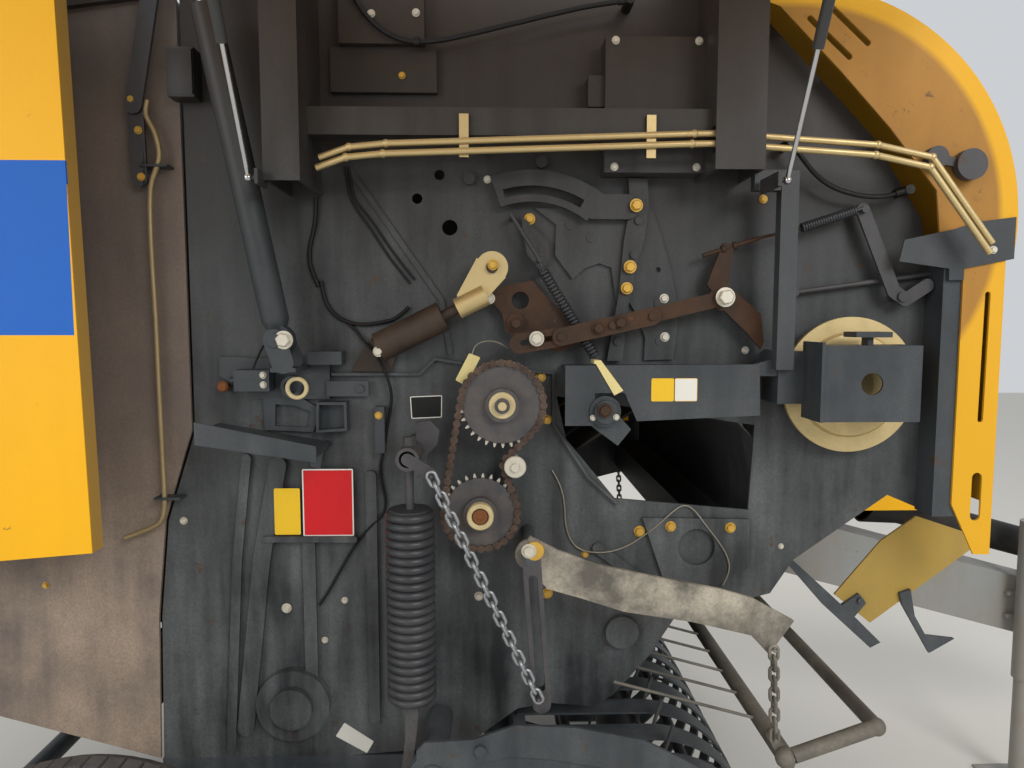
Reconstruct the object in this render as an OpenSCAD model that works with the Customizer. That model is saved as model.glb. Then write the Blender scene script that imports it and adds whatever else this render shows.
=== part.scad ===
// Belt round baler, 1.6 m chamber, standing on its wheels and drawbar jack.
// Millimetres. Machine frame: X forward, Y left, Z up, x = 0 at the axle, ground at z = 0.
// Profiles that are cut from plate are drawn in X and Z and thickened along Y by plate().
// The right-hand door is stored open, the left-hand one closed.

/* [Wheels and axle] */
// Outer radius of a tyre
tyre_r = 390; // [350:5:430]
// Width of a tyre
tyre_w = 330; // [260:5:350]
// Half of the track, centre plane to tyre centre
track_half = 1280; // [1280:5:1340]
// Radius of the wheel rim
rim_r = 196; // [180:2:210]
// Radius of the axle spindle
spindle_r = 30; // [25:1:38]
// Side of the square axle beam
axle_beam_w = 110; // [90:5:130]

/* [Chamber] */
// Outer face of each chamber wall, from the centre plane
wall_out = 800; // [780:5:810]
// Thickness of a chamber wall
wall_t = 8; // [5:1:10]
// Radius of the belt rollers
roller_r = 62; // [50:1:75]
// Radius of the floor rollers
floor_roller_r = 110; // [90:2:120]
// Thickness of a belt
belt_t = 7; // [5:1:10]
// Width of one belt
belt_w = 210; // [150:5:240]
// Number of belts side by side
belt_count = 6; // [4:1:6]

/* [Gate] */
// Gate hinge above the ground
gate_hinge_z = 2560; // [2545:5:2600]
// Gate hinge ahead of the axle
gate_hinge_x = 350; // [340:5:380]
// Radius of the gate hinge pins
gate_pin_r = 25; // [18:1:30]
// Radius of the round rear of the gate
gate_rear_r = 900; // [850:10:950]
// Outer face of the gate side panels
panel_out = 1020; // [1010:2:1030]
// Thickness of painted sheet panels
sheet_t = 5; // [3:1:8]
// Lowest edge of the gate side panels
panel_low_z = 1125; // [1100:5:1160]

/* [Doors] */
// Height of the door hinge line
door_hinge_z = 2450; // [2440:2:2470]
// Distance of the door hinge line from the centre plane
door_hinge_y = 1070; // [1062:2:1080]
// Height of a door below its hinge
door_h = 1390; // [1340:10:1400]
// Rear edge of a door
door_rear_x = -45; // [-50:5:-20]
// Front edge of a door
door_front_x = 1850; // [1700:10:1880]
// Bulge of the door skin
door_bulge = 35; // [20:5:45]
// Angle of an open door from closed
door_open = 97; // [90:1:98]

/* [Drive chain] */
// Pitch of the roller chain
chain_pitch = 19.05; // [18.5:0.05:19.5]
// Teeth of the upper sprocket
teeth_up = 31; // [29:1:32]
// Teeth of the lower sprocket
teeth_low = 28; // [26:1:29]
// Links in the chain
chain_links = 56; // [56:2:58]
// Radius of a chain roller
chain_roller_r = 6; // [5:0.1:6.2]

/* [Pickup] */
// Radius of the pickup tine tips
tine_tip_r = 300; // [280:5:310]
// Radius of the stripper bands
band_r = 250; // [240:2:258]
// Width of a stripper band
band_w = 66; // [58:1:68]
// Half width of the pickup at its side plates
pickup_half = 1045; // [1040:1:1055]
// Thickness of the pickup side plates
pickup_plate_t = 10; // [6:1:12]
// Radius of the pickup gauge wheels
gauge_r = 180; // [170:2:186]

/* [Float spring] */
// Coil radius of the float spring at the wire centre
spring_coil_r = 45; // [38:1:47]
// Wire radius of the float spring
spring_wire_r = 9.5; // [8:0.5:10]
// Turns of the float spring
spring_turns = 23; // [18:1:23]

/* [Drawbar] */
// Height of the drawbar beam
drawbar_h = 200; // [160:5:220]
// Width of the drawbar beam
drawbar_w = 160; // [120:5:180]
// Hitch pin hole ahead of the axle
hitch_x = 3150; // [3100:10:3250]
// Radius of the hitch pin hole
hitch_r = 16.5; // [13:0.5:20]
// Radius of the jack leg
jack_leg_r = 28; // [24:1:30]
// Jack leg ahead of the axle
jack_x = 2600; // [2500:10:2700]

/* [Hidden] */
$fn = 48;

// Running clearance of a pin in its bore, and the gap between pieces that only rest on each other
run = 0.05;
seat = 0.3;

// Outermost points, and the shift that puts the origin under the middle of the machine
gate_rear_c = [-450, 1560];
gate_rear_x = gate_rear_c[0] - gate_rear_r;
hitch_tip_x = hitch_x + 50;
door_edge_y = door_hinge_y + (door_h + 10) * sin(door_open);
tyre_out_y = track_half + tyre_w / 2;
origin_x = (hitch_tip_x + gate_rear_x) / 2;
origin_y = (tyre_out_y - door_edge_y) / 2;

module machine() translate([-origin_x, -origin_y, 0]) children();
module plate(y0, y1) translate([0, y1, 0]) rotate([90, 0, 0]) linear_extrude(y1 - y0) children();
module both() {
  children();
  mirror([0, 1, 0]) children();
}
module right() mirror([0, 1, 0]) children();
// Round bar between two points
module rod(a, b, r, n = 24) {
  d = b - a;
  translate(a) rotate([0, acos(d[2] / norm(d)), atan2(d[1], d[0])]) cylinder(r = r, h = norm(d), $fn = n);
}
// Round bar across the machine at a point of the X-Z plane
module cross_bar(p, y0, y1, r, n = 48) translate([p[0], y1, p[1]]) rotate([90, 0, 0]) cylinder(r = r, h = y1 - y0, $fn = n);
// Flat link with round ends between two points of the X-Z plane
module link2d(p, q, w) {
  d = q - p;
  translate(p) rotate(atan2(d[1], d[0])) {
    circle(d = w);
    translate([0, -w / 2]) square([norm(d), w]);
    translate([norm(d), 0]) circle(d = w);
  }
}
module box(x, y, z) translate([x[0], y[0], z[0]]) cube([x[1] - x[0], y[1] - y[0], z[1] - z[0]]);
function polar(c, r, a) = [c[0] + r * cos(a), c[1] + r * sin(a)];
// Points of an arc, at most 6 degrees apart
function arc(c, r, a0, a1) = let (n = ceil(abs(a1 - a0) / 6)) [for (i = [0:n]) polar(c, r, a0 + (a1 - a0) * i / n)];
module ring_sector(c, r0, r1, a0, a1) polygon(concat(arc(c, r1, a0, a1), arc(c, r0, a1, a0)));
// Chain of flat links through a list of points
module path2d(pts, w) for (i = [0:len(pts) - 2]) link2d(pts[i], pts[i + 1], w);

// Chamber walls
wall_in = wall_out - wall_t;
split = [[60, 2500], [60, 1350], [-10, 1135], [-35, 900], [-45, 540]];
split_gap = 8;
hood_c = [1450, 1830];
hood_r = 511;
hood_top_a = 70;
hood_roof_x = 1000;
window = [[922, 1429], [945, 1326], [1065, 1180], [1390, 1150], [1400, 1358]];
wall_front = [[1808, 1728], [1865, 1728], [1865, 1128], [1731, 1185], [1504, 1024], [1450, 941], [1216, 882],
  [1153, 785], [1064, 685], [1016, 658], [915, 667], [830, 655], [700, 560], [420, 540]];
wall_top = [[250, 2500], [300, 2610], [400, 2640], [1000, 2490], [1402, 2296], [1660, 2036], [1782, 1850]];

module wall_outline() difference() {
  polygon(concat([for (p = split) [p[0] + split_gap, p[1]]], [for (i = [len(wall_front) - 1:-1:0]) wall_front[i]],
    [for (i = [len(wall_top) - 1:-1:0]) wall_top[i]]));
  polygon(window);
  for (h = wall_holes) translate([h[0], h[1]]) circle(r = h[2]);
}
module wall_strip(p, q, w, t) plate(wall_out, wall_out + t) link2d(p, q, w);
// Lightening holes: centre, radius
wall_holes = [[671, 1824, 18], [648, 1944, 12], [596, 1890, 12]];
// Straps on the outside of a wall: ends, width, height
wall_straps = [
  [[188, 1284], [159, 1039], 22, 10], [[159, 1039], [130, 570], 22, 10], [[262, 1268], [218, 1039], 40, 14],
  [[218, 1039], [168, 620], 40, 14], [[330, 1080], [330, 640], 30, 12], [[228, 1092], [440, 1090], 14, 22],
  [[1023, 1060], [1216, 915], 26, 10], [[480, 1240], [480, 640], 26, 12], [[433, 1968], [650, 1657], 12, 6],
  [[650, 1657], [670, 1534], 12, 6]];
// Pressed ridge that follows the chain case: points and size
ridge = [[395, 1483], [598, 1483], [635, 1519], [732, 1503], [913, 1485], [914, 1363], [997, 1236], [1069, 1170]];
ridge_w = 6;
ridge_h = 14;
module wall_right_side() {
  plate(wall_in, wall_out) wall_outline();
  for (s = wall_straps) wall_strip(s[0], s[1], s[2], s[3]);
  plate(wall_out, wall_out + ridge_h) path2d(ridge, ridge_w);
  // Round bearing housings bolted on the wall: centre, radius, height
  for (b = [[[286, 681], 88, 26], [[286, 681], 50, 44], [[1083, 853], 40, 20]])
    cross_bar(b[0], wall_out, wall_out + b[2], b[1]);
  // Bolted bearing plate below the window
  plate(wall_out, wall_out + 12) difference() {
    polygon([[1130, 1135], [1390, 1130], [1390, 1010], [1300, 960], [1180, 990]]);
    translate([1262, 1062]) circle(r = 45);
  }
}
module chamber_walls() color("#25282a") machine() both() wall_right_side();

// Main frame: sills, cross tubes, gate hinge pins, pickup pivots
sill_z = [470, 540];
pickup_pivot = [640, 640];
pickup_pivot_r = 30;
lift_pin = [852, 1102];
lift_pin_r = 16;
lift_pin_end = 1016;
front_tube_x = [1330, 1450];
front_tube_z = [950, 1060];
gate_hinge = [gate_hinge_x, gate_hinge_z];
arm_y = [wall_out + 6, wall_out + 18];
module main_frame() color("#1f2224") machine() {
  both() {
    box([-40, 720], [wall_in - 72, wall_out], sill_z);
    cross_bar(pickup_pivot, wall_out, pickup_half + 12, pickup_pivot_r);
    cross_bar(gate_hinge, wall_out, arm_y[1] + 12, gate_pin_r);
    cross_bar(gate_hinge, arm_y[1] + 4, arm_y[1] + 14, gate_pin_r + 14);
    cross_bar(lift_pin, wall_out, lift_pin_end, lift_pin_r);
    // Black channel up the front edge, with the skirt of the hood on it
    box([1800, 1862], [wall_out, hood_y[0]], [1150, 1735]);
    box([1806, 1840], [hood_y[0], hood_y[1] + seat + 4], [1700, 1735]);
    plate(hood_y[1] + seat, hood_y[1] + seat + 4) polygon([[1690, 1742], [1700, 1790], [1816, 1815], [1861, 1830],
      [1954, 1842], [1954, 1748], [1840, 1726], [1806, 1726]]);
  }
  box(front_tube_x, [-wall_in, wall_in], front_tube_z);
  box([1000, 1060], [-wall_in, wall_in], [2410, 2460]);
  box([620, 680], [-wall_in, wall_in], [2520, 2570]);
}

// Axle
axle_z = tyre_r;
beam_half = track_half - tyre_w / 2 - 60;
hub_in = beam_half + 20;
module axle_beam() color("#1f2224") machine() {
  box([-axle_beam_w / 2, axle_beam_w / 2], [-beam_half, beam_half], [axle_z - axle_beam_w / 2, axle_z + axle_beam_w / 2]);
  both() {
    cross_bar([0, axle_z], beam_half, track_half + 60, spindle_r);
    // Pads that carry the sills
    box([-axle_beam_w / 2, axle_beam_w / 2], [wall_in - 72, wall_out], [axle_z + axle_beam_w / 2, sill_z[0]]);
  }
}

// Drawbar, which falls forwards at drawbar_slope
drawbar_slope = 0.2717;
function drawbar_low(x) = 684 + (1985 - x) * drawbar_slope;
drawbar_end_x = hitch_x - 150;
hitch_z = drawbar_low(drawbar_end_x) + drawbar_h / 2;
clevis_gap = 60;
clevis_t = 25;
module drawbar() color("#8a8c88") machine() {
  difference() {
    plate(-drawbar_w / 2, drawbar_w / 2) polygon([
      [front_tube_x[1], drawbar_low(front_tube_x[1])], [drawbar_end_x, drawbar_low(drawbar_end_x)],
      [drawbar_end_x, drawbar_low(drawbar_end_x) + drawbar_h],
      [front_tube_x[1], drawbar_low(front_tube_x[1]) + drawbar_h]]);
    plate(-drawbar_w / 2 + 8, drawbar_w / 2 - 8) polygon([
      [front_tube_x[1] + 10, drawbar_low(front_tube_x[1]) + 10], [drawbar_end_x - 20, drawbar_low(drawbar_end_x) + 16],
      [drawbar_end_x - 20, drawbar_low(drawbar_end_x) + drawbar_h - 10],
      [front_tube_x[1] + 10, drawbar_low(front_tube_x[1]) + drawbar_h - 16]]);
  }
  // Hitch clevis: two plates with the pin hole
  for (s = [-1, 1]) translate([0, 0, hitch_z + s * (clevis_gap + clevis_t) / 2 - clevis_t / 2]) linear_extrude(clevis_t)
    difference() {
      union() {
        translate([drawbar_end_x, -50]) square([hitch_x - drawbar_end_x, 100]);
        translate([hitch_x, 0]) circle(r = 50);
      }
      translate([hitch_x, 0]) circle(r = hitch_r);
    }
  // Ears that hold the jack sleeve
  for (z = [60, 140]) box([jack_x - 45, jack_x + 45], [-jack_y_in - 6, -drawbar_w / 2], [drawbar_low(jack_x) + z, drawbar_low(jack_x) + z + 12]);
}
jack_sleeve_r = jack_leg_r + 8;
jack_y_in = drawbar_w / 2 + 14;
jack_y = -(jack_y_in + 6 + jack_sleeve_r);
jack_top_z = 930;
jack_low_z = 380;
module jack_sleeve() color("#8a8c88") machine() {
  translate([jack_x, jack_y, jack_low_z]) difference() {
    cylinder(r = jack_sleeve_r, h = jack_top_z - jack_low_z);
    translate([0, 0, -1]) cylinder(r = jack_leg_r + run, h = jack_top_z - jack_low_z - 8);
  }
  // Crank on top
  rod([jack_x, jack_y, jack_top_z], [jack_x, jack_y, jack_top_z + 40], 9);
  rod([jack_x, jack_y, jack_top_z + 34], [jack_x + 130, jack_y, jack_top_z + 34], 7);
  rod([jack_x + 124, jack_y, jack_top_z + 34], [jack_x + 124, jack_y, jack_top_z + 110], 10);
}
jack_travel = 300;
module jack_leg() color("#8a8c88") machine() translate([jack_x, jack_y, 0]) {
  translate([-100, -90, 0]) cube([200, 180, 10]);
  cylinder(r = jack_leg_r, h = 560);
  cylinder(r = jack_leg_r + 16, h = 26);
}

// Door posts: they hang from the top frame and carry the door hinges and the strut pins
post_x = [[303, 378], [1243, 1350]];
post_low_z = [1894, 1929];
post_out = [1000, 960];
post_top_z = door_hinge_z + 20;
door_pin_r = 12;
strut_x = [280, 1374];
// Distance of an ear from the middle of its strut, which clears the tube
strut_ear_gap = 16;
strut_pin = [1020, 1895];
module hinge_ear(x0, x1) translate([x0, 0, 0]) rotate([90, 0, 90]) linear_extrude(x1 - x0) difference() {
  union() {
    translate([door_hinge_y, door_hinge_z]) circle(r = 26);
    polygon([[post_out[1], door_hinge_z + 20], [door_hinge_y, door_hinge_z + 26], [door_hinge_y - 22, door_hinge_z - 14],
      [post_out[1], door_hinge_z - 60]]);
  }
}
module door_posts_right() {
  for (i = [0, 1]) difference() {
    box(post_x[i], [wall_out, post_out[i]], [post_low_z[i], post_top_z]);
    box([post_x[i][0] + 6, post_x[i][1] - 6], [wall_out - 1, post_out[i] - 6], [post_low_z[i] - 1, post_top_z - 6]);
    // Slot for the hydraulic pipes
    box([post_x[1][0] - 10, post_x[1][1] + 10], [pipe_y - 14, pipe_y + 16], [1964, 2022]);
  }
  for (i = [0, 1]) {
    hinge_ear(post_x[i][0], post_x[i][0] + 12);
    translate([post_x[i][0] + 12, door_hinge_y, door_hinge_z]) rotate([0, 90, 0]) cylinder(r = door_pin_r, h = 56);
  }
  // Square tube between the posts
  box([post_x[0][1], post_x[1][0]], [870, 928], [2003, 2061]);
  // Ears beside the struts, each with the stud of a ball end
  for (e = [[strut_x[0] + strut_ear_gap, post_x[0][0], post_out[0]], [post_x[1][1], strut_x[1] - strut_ear_gap, post_out[1]]])
    box([e[0], e[1]], [e[2] - 30, strut_pin[0] + 14], [strut_pin[1] - 14, strut_pin[1] + 16]);
  for (x = [strut_x[0] + strut_end_r + seat, strut_x[1] - strut_ear_gap - 2])
    translate([x, strut_pin[0], strut_pin[1]]) rotate([0, 90, 0]) cylinder(r = 5, h = strut_ear_gap - strut_end_r - seat + 2);
  // Cover boxes, rubber block and port bosses on the wall
  box([1021, 1243], [wall_out, 866], [1939, 2233]);
  box([406, 645], [wall_out, 818], [2123, 2222]);
  box([430, 620], [wall_out, 840], [2222, 2400]);
  box([985, 1021], [wall_out, 850], [2086, 2154]);
  for (p = [[717, 1934], [760, 2001], [884, 1973]]) cross_bar(p, wall_out, 814, 14);
}
module door_posts() color("#1b1d1f") machine() both() door_posts_right();

// Front shield and hood, side plates with slots, slotted posts
hood_y = [wall_out + 72, wall_out + 78];
hood_tan = polar(hood_c, hood_r, hood_top_a);
hood_roof = [hood_roof_x, hood_tan[1] + (hood_tan[0] - hood_roof_x) / tan(hood_top_a)];
hood_inner = [[1402, 2296], [1542, 2160], [1660, 2036], [1771, 1901], [1790, 1745]];
// The side plates and the wide part of the sheet start ahead of the front door post
hood_side_x = 1362;
hood_low_z = 1700;
hood_cut = [hood_c[0] + hood_r + 50, hood_roof[1] + 50];
module hood_solid(r) intersection() {
  union() {
    translate(hood_c) circle(r = r, $fn = 96);
    polygon([polar(hood_c, r, hood_top_a), hood_roof + (r - hood_r) * [cos(hood_top_a), sin(hood_top_a)], [hood_roof_x, hood_low_z], hood_c]);
  }
  polygon([[hood_roof_x - 40, hood_low_z], [hood_roof_x - 40, hood_cut[1]], hood_cut, [hood_cut[0], hood_low_z + 60],
    [1500, hood_low_z + 60], [1500, hood_low_z]]);
}
module front_shield() color("#e0a21e") machine() {
  both() {
    plate(hood_y[0], hood_y[1]) difference() {
      hood_solid(hood_r);
      polygon(concat([[hood_roof_x - 50, 1600], [hood_roof_x - 50, 2640], [hood_side_x, 2640], [hood_side_x, 2310]], hood_inner, [[1790, 1600]]));
      for (s = [[[1470, 2270], [1560, 2190]], [[1510, 2300], [1600, 2220]]]) link2d(s[0], s[1], 14);
    }
    // Slotted yellow post
    plate(hood_y[0], hood_y[1]) difference() {
      polygon([[1842, 1765], [1938, 1765], [1938, 1060], [1900, 1060], [1842, 1180]]);
      link2d([1899, 1380], [1901, 1668], 13);
      link2d([1899, 1153], [1899, 1243], 24);
    }
  }
  // Curved sheet across the front
  for (w = [[hood_y[0], hood_side_x, 2100], [wall_out - 4, hood_roof_x, hood_side_x]]) plate(-w[0], w[0]) intersection() {
    difference() {
      hood_solid(hood_r);
      hood_solid(hood_r - sheet_t);
      translate([1400, 1600]) square([500, 161]);
    }
    translate([w[1], 1600]) square([w[2] - w[1], 1400]);
  }
  difference() {
    box([1938 - sheet_t, 1938], [-hood_y[0], hood_y[0]], [1180, 1755]);
    for (i = [-5:5]) box([1900, 1960], [i * 120 - 40, i * 120 + 40], [1260, 1420]);
  }
}

// Rollers and belts. A belt goes round the rollers as a loop of constant thickness.
floor_rollers_at = [[150, sill_z[1] + floor_roller_r + 8], [420, sill_z[1] + floor_roller_r + 45]];
front_rollers_at = [[430, 2465], [1180, 2285], [1240, 1560], [800, 1250]];
module floor_rollers() color("#4b4a47") machine() {
  for (p = floor_rollers_at) cross_bar(p, -wall_in, wall_in, floor_roller_r);
  for (p = front_rollers_at) cross_bar(p, -wall_in, wall_in, roller_r);
}
function normal_a(p, q) = atan2(q[0] - p[0], p[1] - q[1]);
// Corner points round each roller, on the lines that touch the circle of radius r, at most 15 degrees apart
module loop2d(pts, r) {
  n = len(pts);
  polygon([for (i = [0:n - 1])
    let (a = normal_a(pts[(i + n - 1) % n], pts[i]), turn = (a - normal_a(pts[i], pts[(i + 1) % n]) + 720) % 360, k = ceil(turn / 15))
    for (j = [0:k - 1]) polar(pts[i], r / cos(turn / k / 2), a - turn * (j + 0.5) / k)]);
}
module belt_set(pts) for (i = [0:belt_count - 1]) {
  y = (i - (belt_count - 1) / 2) * (2 * wall_in / belt_count);
  plate(y - belt_w / 2, y + belt_w / 2) difference() {
    loop2d(pts, roller_r + seat + belt_t);
    loop2d(pts, roller_r + seat);
  }
}
module chamber_belts() color("#2f2e2c") machine() belt_set(front_rollers_at);

// Gearbox and driveline, whose axis falls forwards like the drawbar
line_a = atan(drawbar_slope);
line_rear = [2030, 990];
line_len = 1100;
line_dir = [cos(line_a), -sin(line_a)];
function line_at(s) = line_rear + s * line_dir;
module on_line(s) translate([line_at(s)[0], 0, line_at(s)[1]]) rotate([0, 90 + line_a, 0]) children();
gearbox_x = [1690, 1925];
// Output stub of the gearbox, which meets the driveline
stub_r = 30;
stub_len = 125;
module gearbox() color("#2a2d2f") machine() {
  box([gearbox_x[0], gearbox_x[1]], [-130, 130], [drawbar_low(gearbox_x[0]) + drawbar_h, 1260]);
  both() cross_bar([1780, 1216], 130, wall_in, 32);
  on_line(-stub_len) cylinder(r = stub_r, h = stub_len + 4 - seat);
}
module pto_guard() color("#e0a21e") machine() {
  difference() {
    box([gearbox_x[1], 2330], [-190, 190], [985, 1170]);
    box([gearbox_x[1] + 6, 2340], [-184, 184], [980, 1164]);
    on_line(-stub_len) cylinder(r = stub_r + 4, h = stub_len);
  }
}
guard_r = 52;
shaft_r = 24;
yoke_len = 56;
yoke_bore_r = 17.5;
module driveline_guard() color("#17181a") machine() {
  on_line(60) difference() {
    union() {
      cylinder(r = guard_r, h = line_len - 120);
      cylinder(r1 = 80, r2 = guard_r, h = 130);
      translate([0, 0, line_len - 250]) cylinder(r1 = guard_r, r2 = 80, h = 130);
    }
    translate([0, 0, -1]) cylinder(r = shaft_r + run, h = line_len);
    translate([0, 0, -1]) cylinder(r1 = 74, r2 = shaft_r + run, h = 100);
    translate([0, 0, line_len - 220]) cylinder(r1 = shaft_r + run, r2 = 74.5, h = 101);
  }
  // Cradle on the drawbar
  box([2700, 2730], [-60, 60], [drawbar_low(2700) + drawbar_h, line_at(700)[1] - guard_r - 6]);
}
module driveline_shaft() color("#9a9a98") machine() {
  difference() {
    union() {
      on_line(20) cylinder(r = shaft_r, h = line_len - 40);
      on_line(line_len - yoke_len) cylinder(r = 42, h = yoke_len);
    }
    on_line(line_len - yoke_len) cylinder(r = yoke_bore_r, h = 2 * yoke_len);
  }
  on_line(4) cylinder(r = 40, h = 40);
}

// Roller chain round two sprockets. Radii give an arc of one pitch for each tooth.
up_c = [791, 1420];
chain_lean = 78.7;
up_r = teeth_up * chain_pitch / (2 * PI);
low_r = teeth_low * chain_pitch / (2 * PI);
strand = (chain_links * chain_pitch - PI * (up_r + low_r)) / 2;
centre_d = sqrt(strand * strand + (up_r - low_r) * (up_r - low_r));
low_c = polar(up_c, centre_d, chain_lean + 180);
side_a = acos((low_r - up_r) / centre_d);
right_a = chain_lean - side_a;
left_a = chain_lean + side_a;
up_arc = up_r * (2 * side_a) * PI / 180;
low_arc = low_r * (360 - 2 * side_a) * PI / 180;
chain_len = up_arc + low_arc + 2 * strand;
link_step = chain_len / chain_links;
function chain_at(s) =
  s < up_arc ? polar(up_c, up_r, right_a + s / up_r * 180 / PI) :
  s < up_arc + strand ? polar(up_c, up_r, left_a) + (s - up_arc) * [sin(left_a) * -1, cos(left_a)] :
  s < up_arc + strand + low_arc ? polar(low_c, low_r, left_a + (s - up_arc - strand) / low_r * 180 / PI) :
  polar(low_c, low_r, right_a) + (s - up_arc - strand - low_arc) * [-sin(right_a), cos(right_a)];
up_phase = right_a + 180 / teeth_up;
low_first = ceil((up_arc + strand) / link_step) * link_step - up_arc - strand;
low_phase = left_a + low_first / low_r * 180 / PI + 180 / teeth_low;
chain_y = 887;
link_w = 15;
// Side plate of one link, with bevelled ends round the two pins
module link_plate(p, q) {
  d = q - p;
  l = norm(d);
  h = link_w / 2;
  translate(p) rotate(atan2(d[1], d[0])) polygon([[-h, -h / 2], [-h / 2, -h], [l + h / 2, -h], [l + h, -h / 2],
    [l + h, h / 2], [l + h / 2, h], [-h / 2, h], [-h, h / 2]]);
}
module link_row(first, y0, y1) plate(y0, y1) for (i = [first:2:chain_links - 1])
  link_plate(chain_at(i * link_step), chain_at(((i + 1) % chain_links) * link_step));
module drive_chain() color("#5a4636") machine() right() {
  for (s = [-1, 1]) {
    link_row(0, chain_y + s * 7.3 - 1, chain_y + s * 7.3 + 1);
    link_row(1, chain_y + s * 9.6 - 1, chain_y + s * 9.6 + 1);
  }
  for (i = [0:chain_links - 1]) cross_bar(chain_at(i * link_step), chain_y - 11.5, chain_y + 11.5, chain_roller_r - run, 16);
}
// One tooth: radius from the pitch circle, half width. The gaps between teeth clear the rollers.
tooth = [[-6.2, 4.6], [-3, 3.6], [0, 2.9], [5, 1.3]];
function tooth_point(c, r, k, side, a) = polar(c, norm([r + tooth[k][0], tooth[k][1]]), a + side * atan(tooth[k][1] / r));
module sprocket2d(c, r, n, phase) polygon([for (i = [0:n - 1]) let (a = phase + i * 360 / n)
  each concat([for (k = [0:3]) tooth_point(c, r, k, -1, a)], [for (k = [3:-1:0]) tooth_point(c, r, k, 1, a)])]);
idler_c = [820, 1280];
module drive_sprockets() color("#2b2c2c") machine() right() {
  plate(chain_y - 4, chain_y + 4) sprocket2d(up_c, up_r, teeth_up, up_phase);
  plate(chain_y - 4, chain_y + 4) sprocket2d(low_c, low_r, teeth_low, low_phase);
  for (c = [up_c, low_c]) {
    cross_bar(c, wall_out, chain_y - 4, 42);
    cross_bar(c, chain_y + 4, chain_y + 26, 38);
    cross_bar(c, chain_y + 26, chain_y + 44, 17);
  }
  cross_bar(idler_c, wall_out, chain_y - 12, 12);
  cross_bar(idler_c, chain_y - 12, chain_y + 22, 21);
}

// Float spring: close-wound coils as one revolved outline, with its hooks. Small open spring on the sector.
spring_x = 590;
spring_y = 970;
spring_low_z = 775;
coil_pitch = 2 * spring_wire_r * 0.97;
spring_top_z = spring_low_z + spring_turns * coil_pitch;
module coil(r, wire, turns, pitch) rotate_extrude($fn = 64) for (i = [0:turns - 1])
  translate([r, (i + 0.5) * pitch]) circle(r = wire, $fn = 24);
module coil_springs() color("#141516") machine() right() {
  translate([spring_x, spring_y, spring_low_z]) {
    coil(spring_coil_r, spring_wire_r, spring_turns, coil_pitch);
    // End plugs of the coil, turned to the bore of the coil
    translate([0, 0, -4]) cylinder(r = spring_coil_r, h = 30);
    translate([0, 0, spring_top_z - spring_low_z - 26]) cylinder(r = spring_coil_r, h = 30);
  }
  wall_spring(small_spring, 9, 4, 26);
  // Hooks of the small spring, on the pin above and on the clevis below
  rod([885, small_y, 1721], [878.6, small_y, 1740.9], 3);
  rod([1004, small_y, 1540], [1004, small_y, 1520 + seat], 3);
  wall_spring(lever_spring, 8, 3.4, 22);
}
small_spring = [[885, 1721], [1006, 1526]];
lever_spring = [[1476, 1819], [1600, 1859]];
small_y = 852;
// Thin spring between two points beside the wall: coils round a core
module wall_spring(ends, r, wire, turns) {
  a = [ends[0][0], small_y, ends[0][1]];
  d = [ends[1][0], small_y, ends[1][1]] - a;
  translate(a) rotate([0, acos(d[2] / norm(d)), atan2(d[1], d[0])]) coil(r, wire, turns, norm(d) / turns);
  rod(a, a + d, r - 1);
}

// Hanger tube of the float spring with its eyebolt, and the hook below
hanger = [590, 1317];
module spring_hanger() color("#34312c") machine() right() {
  // Two flat bars that hang from the lift pin, with a spacer at the bottom
  for (y = [990, 1008]) plate(y, y + 6) difference() {
    link2d(lift_pin, slot_pin, 40);
    translate(lift_pin) circle(r = lift_pin_r + run);
    link2d(lift_pin + 0.14 * (slot_pin - lift_pin), lift_pin + 0.88 * (slot_pin - lift_pin), 20);
  }
  cross_bar(slot_pin, 996, 1008, 12);
  // Bolts of the chain
  plate(1002, 1010) link2d(hanger, float_bolts[0], 26);
  cross_bar(float_bolts[0], 1010, float_y + 8, link_r);
  cross_bar(float_bolts[1], 1014, float_y + 8, link_r);
  difference() {
    cross_bar(hanger, wall_out, 1010, hanger_r);
    cross_bar(hanger, 900, 1012, 18);
  }
  // Curved arm behind the tube
  plate(888, 902) polygon([[597, 1380], [629, 1386], [651, 1364], [645, 1331], [623, 1307], [616, 1258], [600, 1254]]);
  // Eyebolt of the spring, with its nut on the tube
  translate([spring_x, spring_y, spring_top_z + 4]) cylinder(r = 9, h = hanger[1] + hanger_r - spring_top_z);
  translate([spring_x, spring_y, hanger[1] + hanger_r - 2]) cylinder(r = 14, h = 20, $fn = 6);
  // Bent strap below the spring
  plate(spring_y - 7, spring_y + 7) polygon([[578, spring_low_z - 4], [602, spring_low_z - 4], [604, 742], [598, 684], [588, 612],
    [566, 612], [574, 684], [576, 754]]);
}
hanger_r = 25;
link_r = 4;
link_half = 16;
module chain_link() {
  for (s = [-1, 1]) {
    translate([0, s * 9, -(link_half - 9)]) cylinder(r = link_r, h = 2 * (link_half - 9), $fn = 16);
    translate([0, 0, s * (link_half - 9)]) rotate([0, 90, 0]) rotate([0, 0, s > 0 ? 90 : -90]) rotate_extrude(angle = 180, $fn = 32)
      translate([9, 0]) circle(r = link_r, $fn = 16);
  }
}
link_pitch = 2 * (link_half - link_r) - seat;
module link_chain(a, b) {
  d = b - a;
  n = floor(norm(d) / link_pitch);
  translate(a) rotate([0, acos(d[2] / norm(d)), atan2(d[1], d[0])])
    for (i = [0:n - 1]) translate([0, 0, (i + 0.5) * link_pitch]) rotate((i + 1) % 2 * 90) chain_link();
}
slot_pin = [875, 779];
// The chain runs from a bolt on the hanger to a bolt on the hanging bars, outside both
float_ends = [[640, 1290], [869, 794.5]];
float_y = 1028;
float_dir = (float_ends[1] - float_ends[0]) / norm(float_ends[1] - float_ends[0]);
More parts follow.
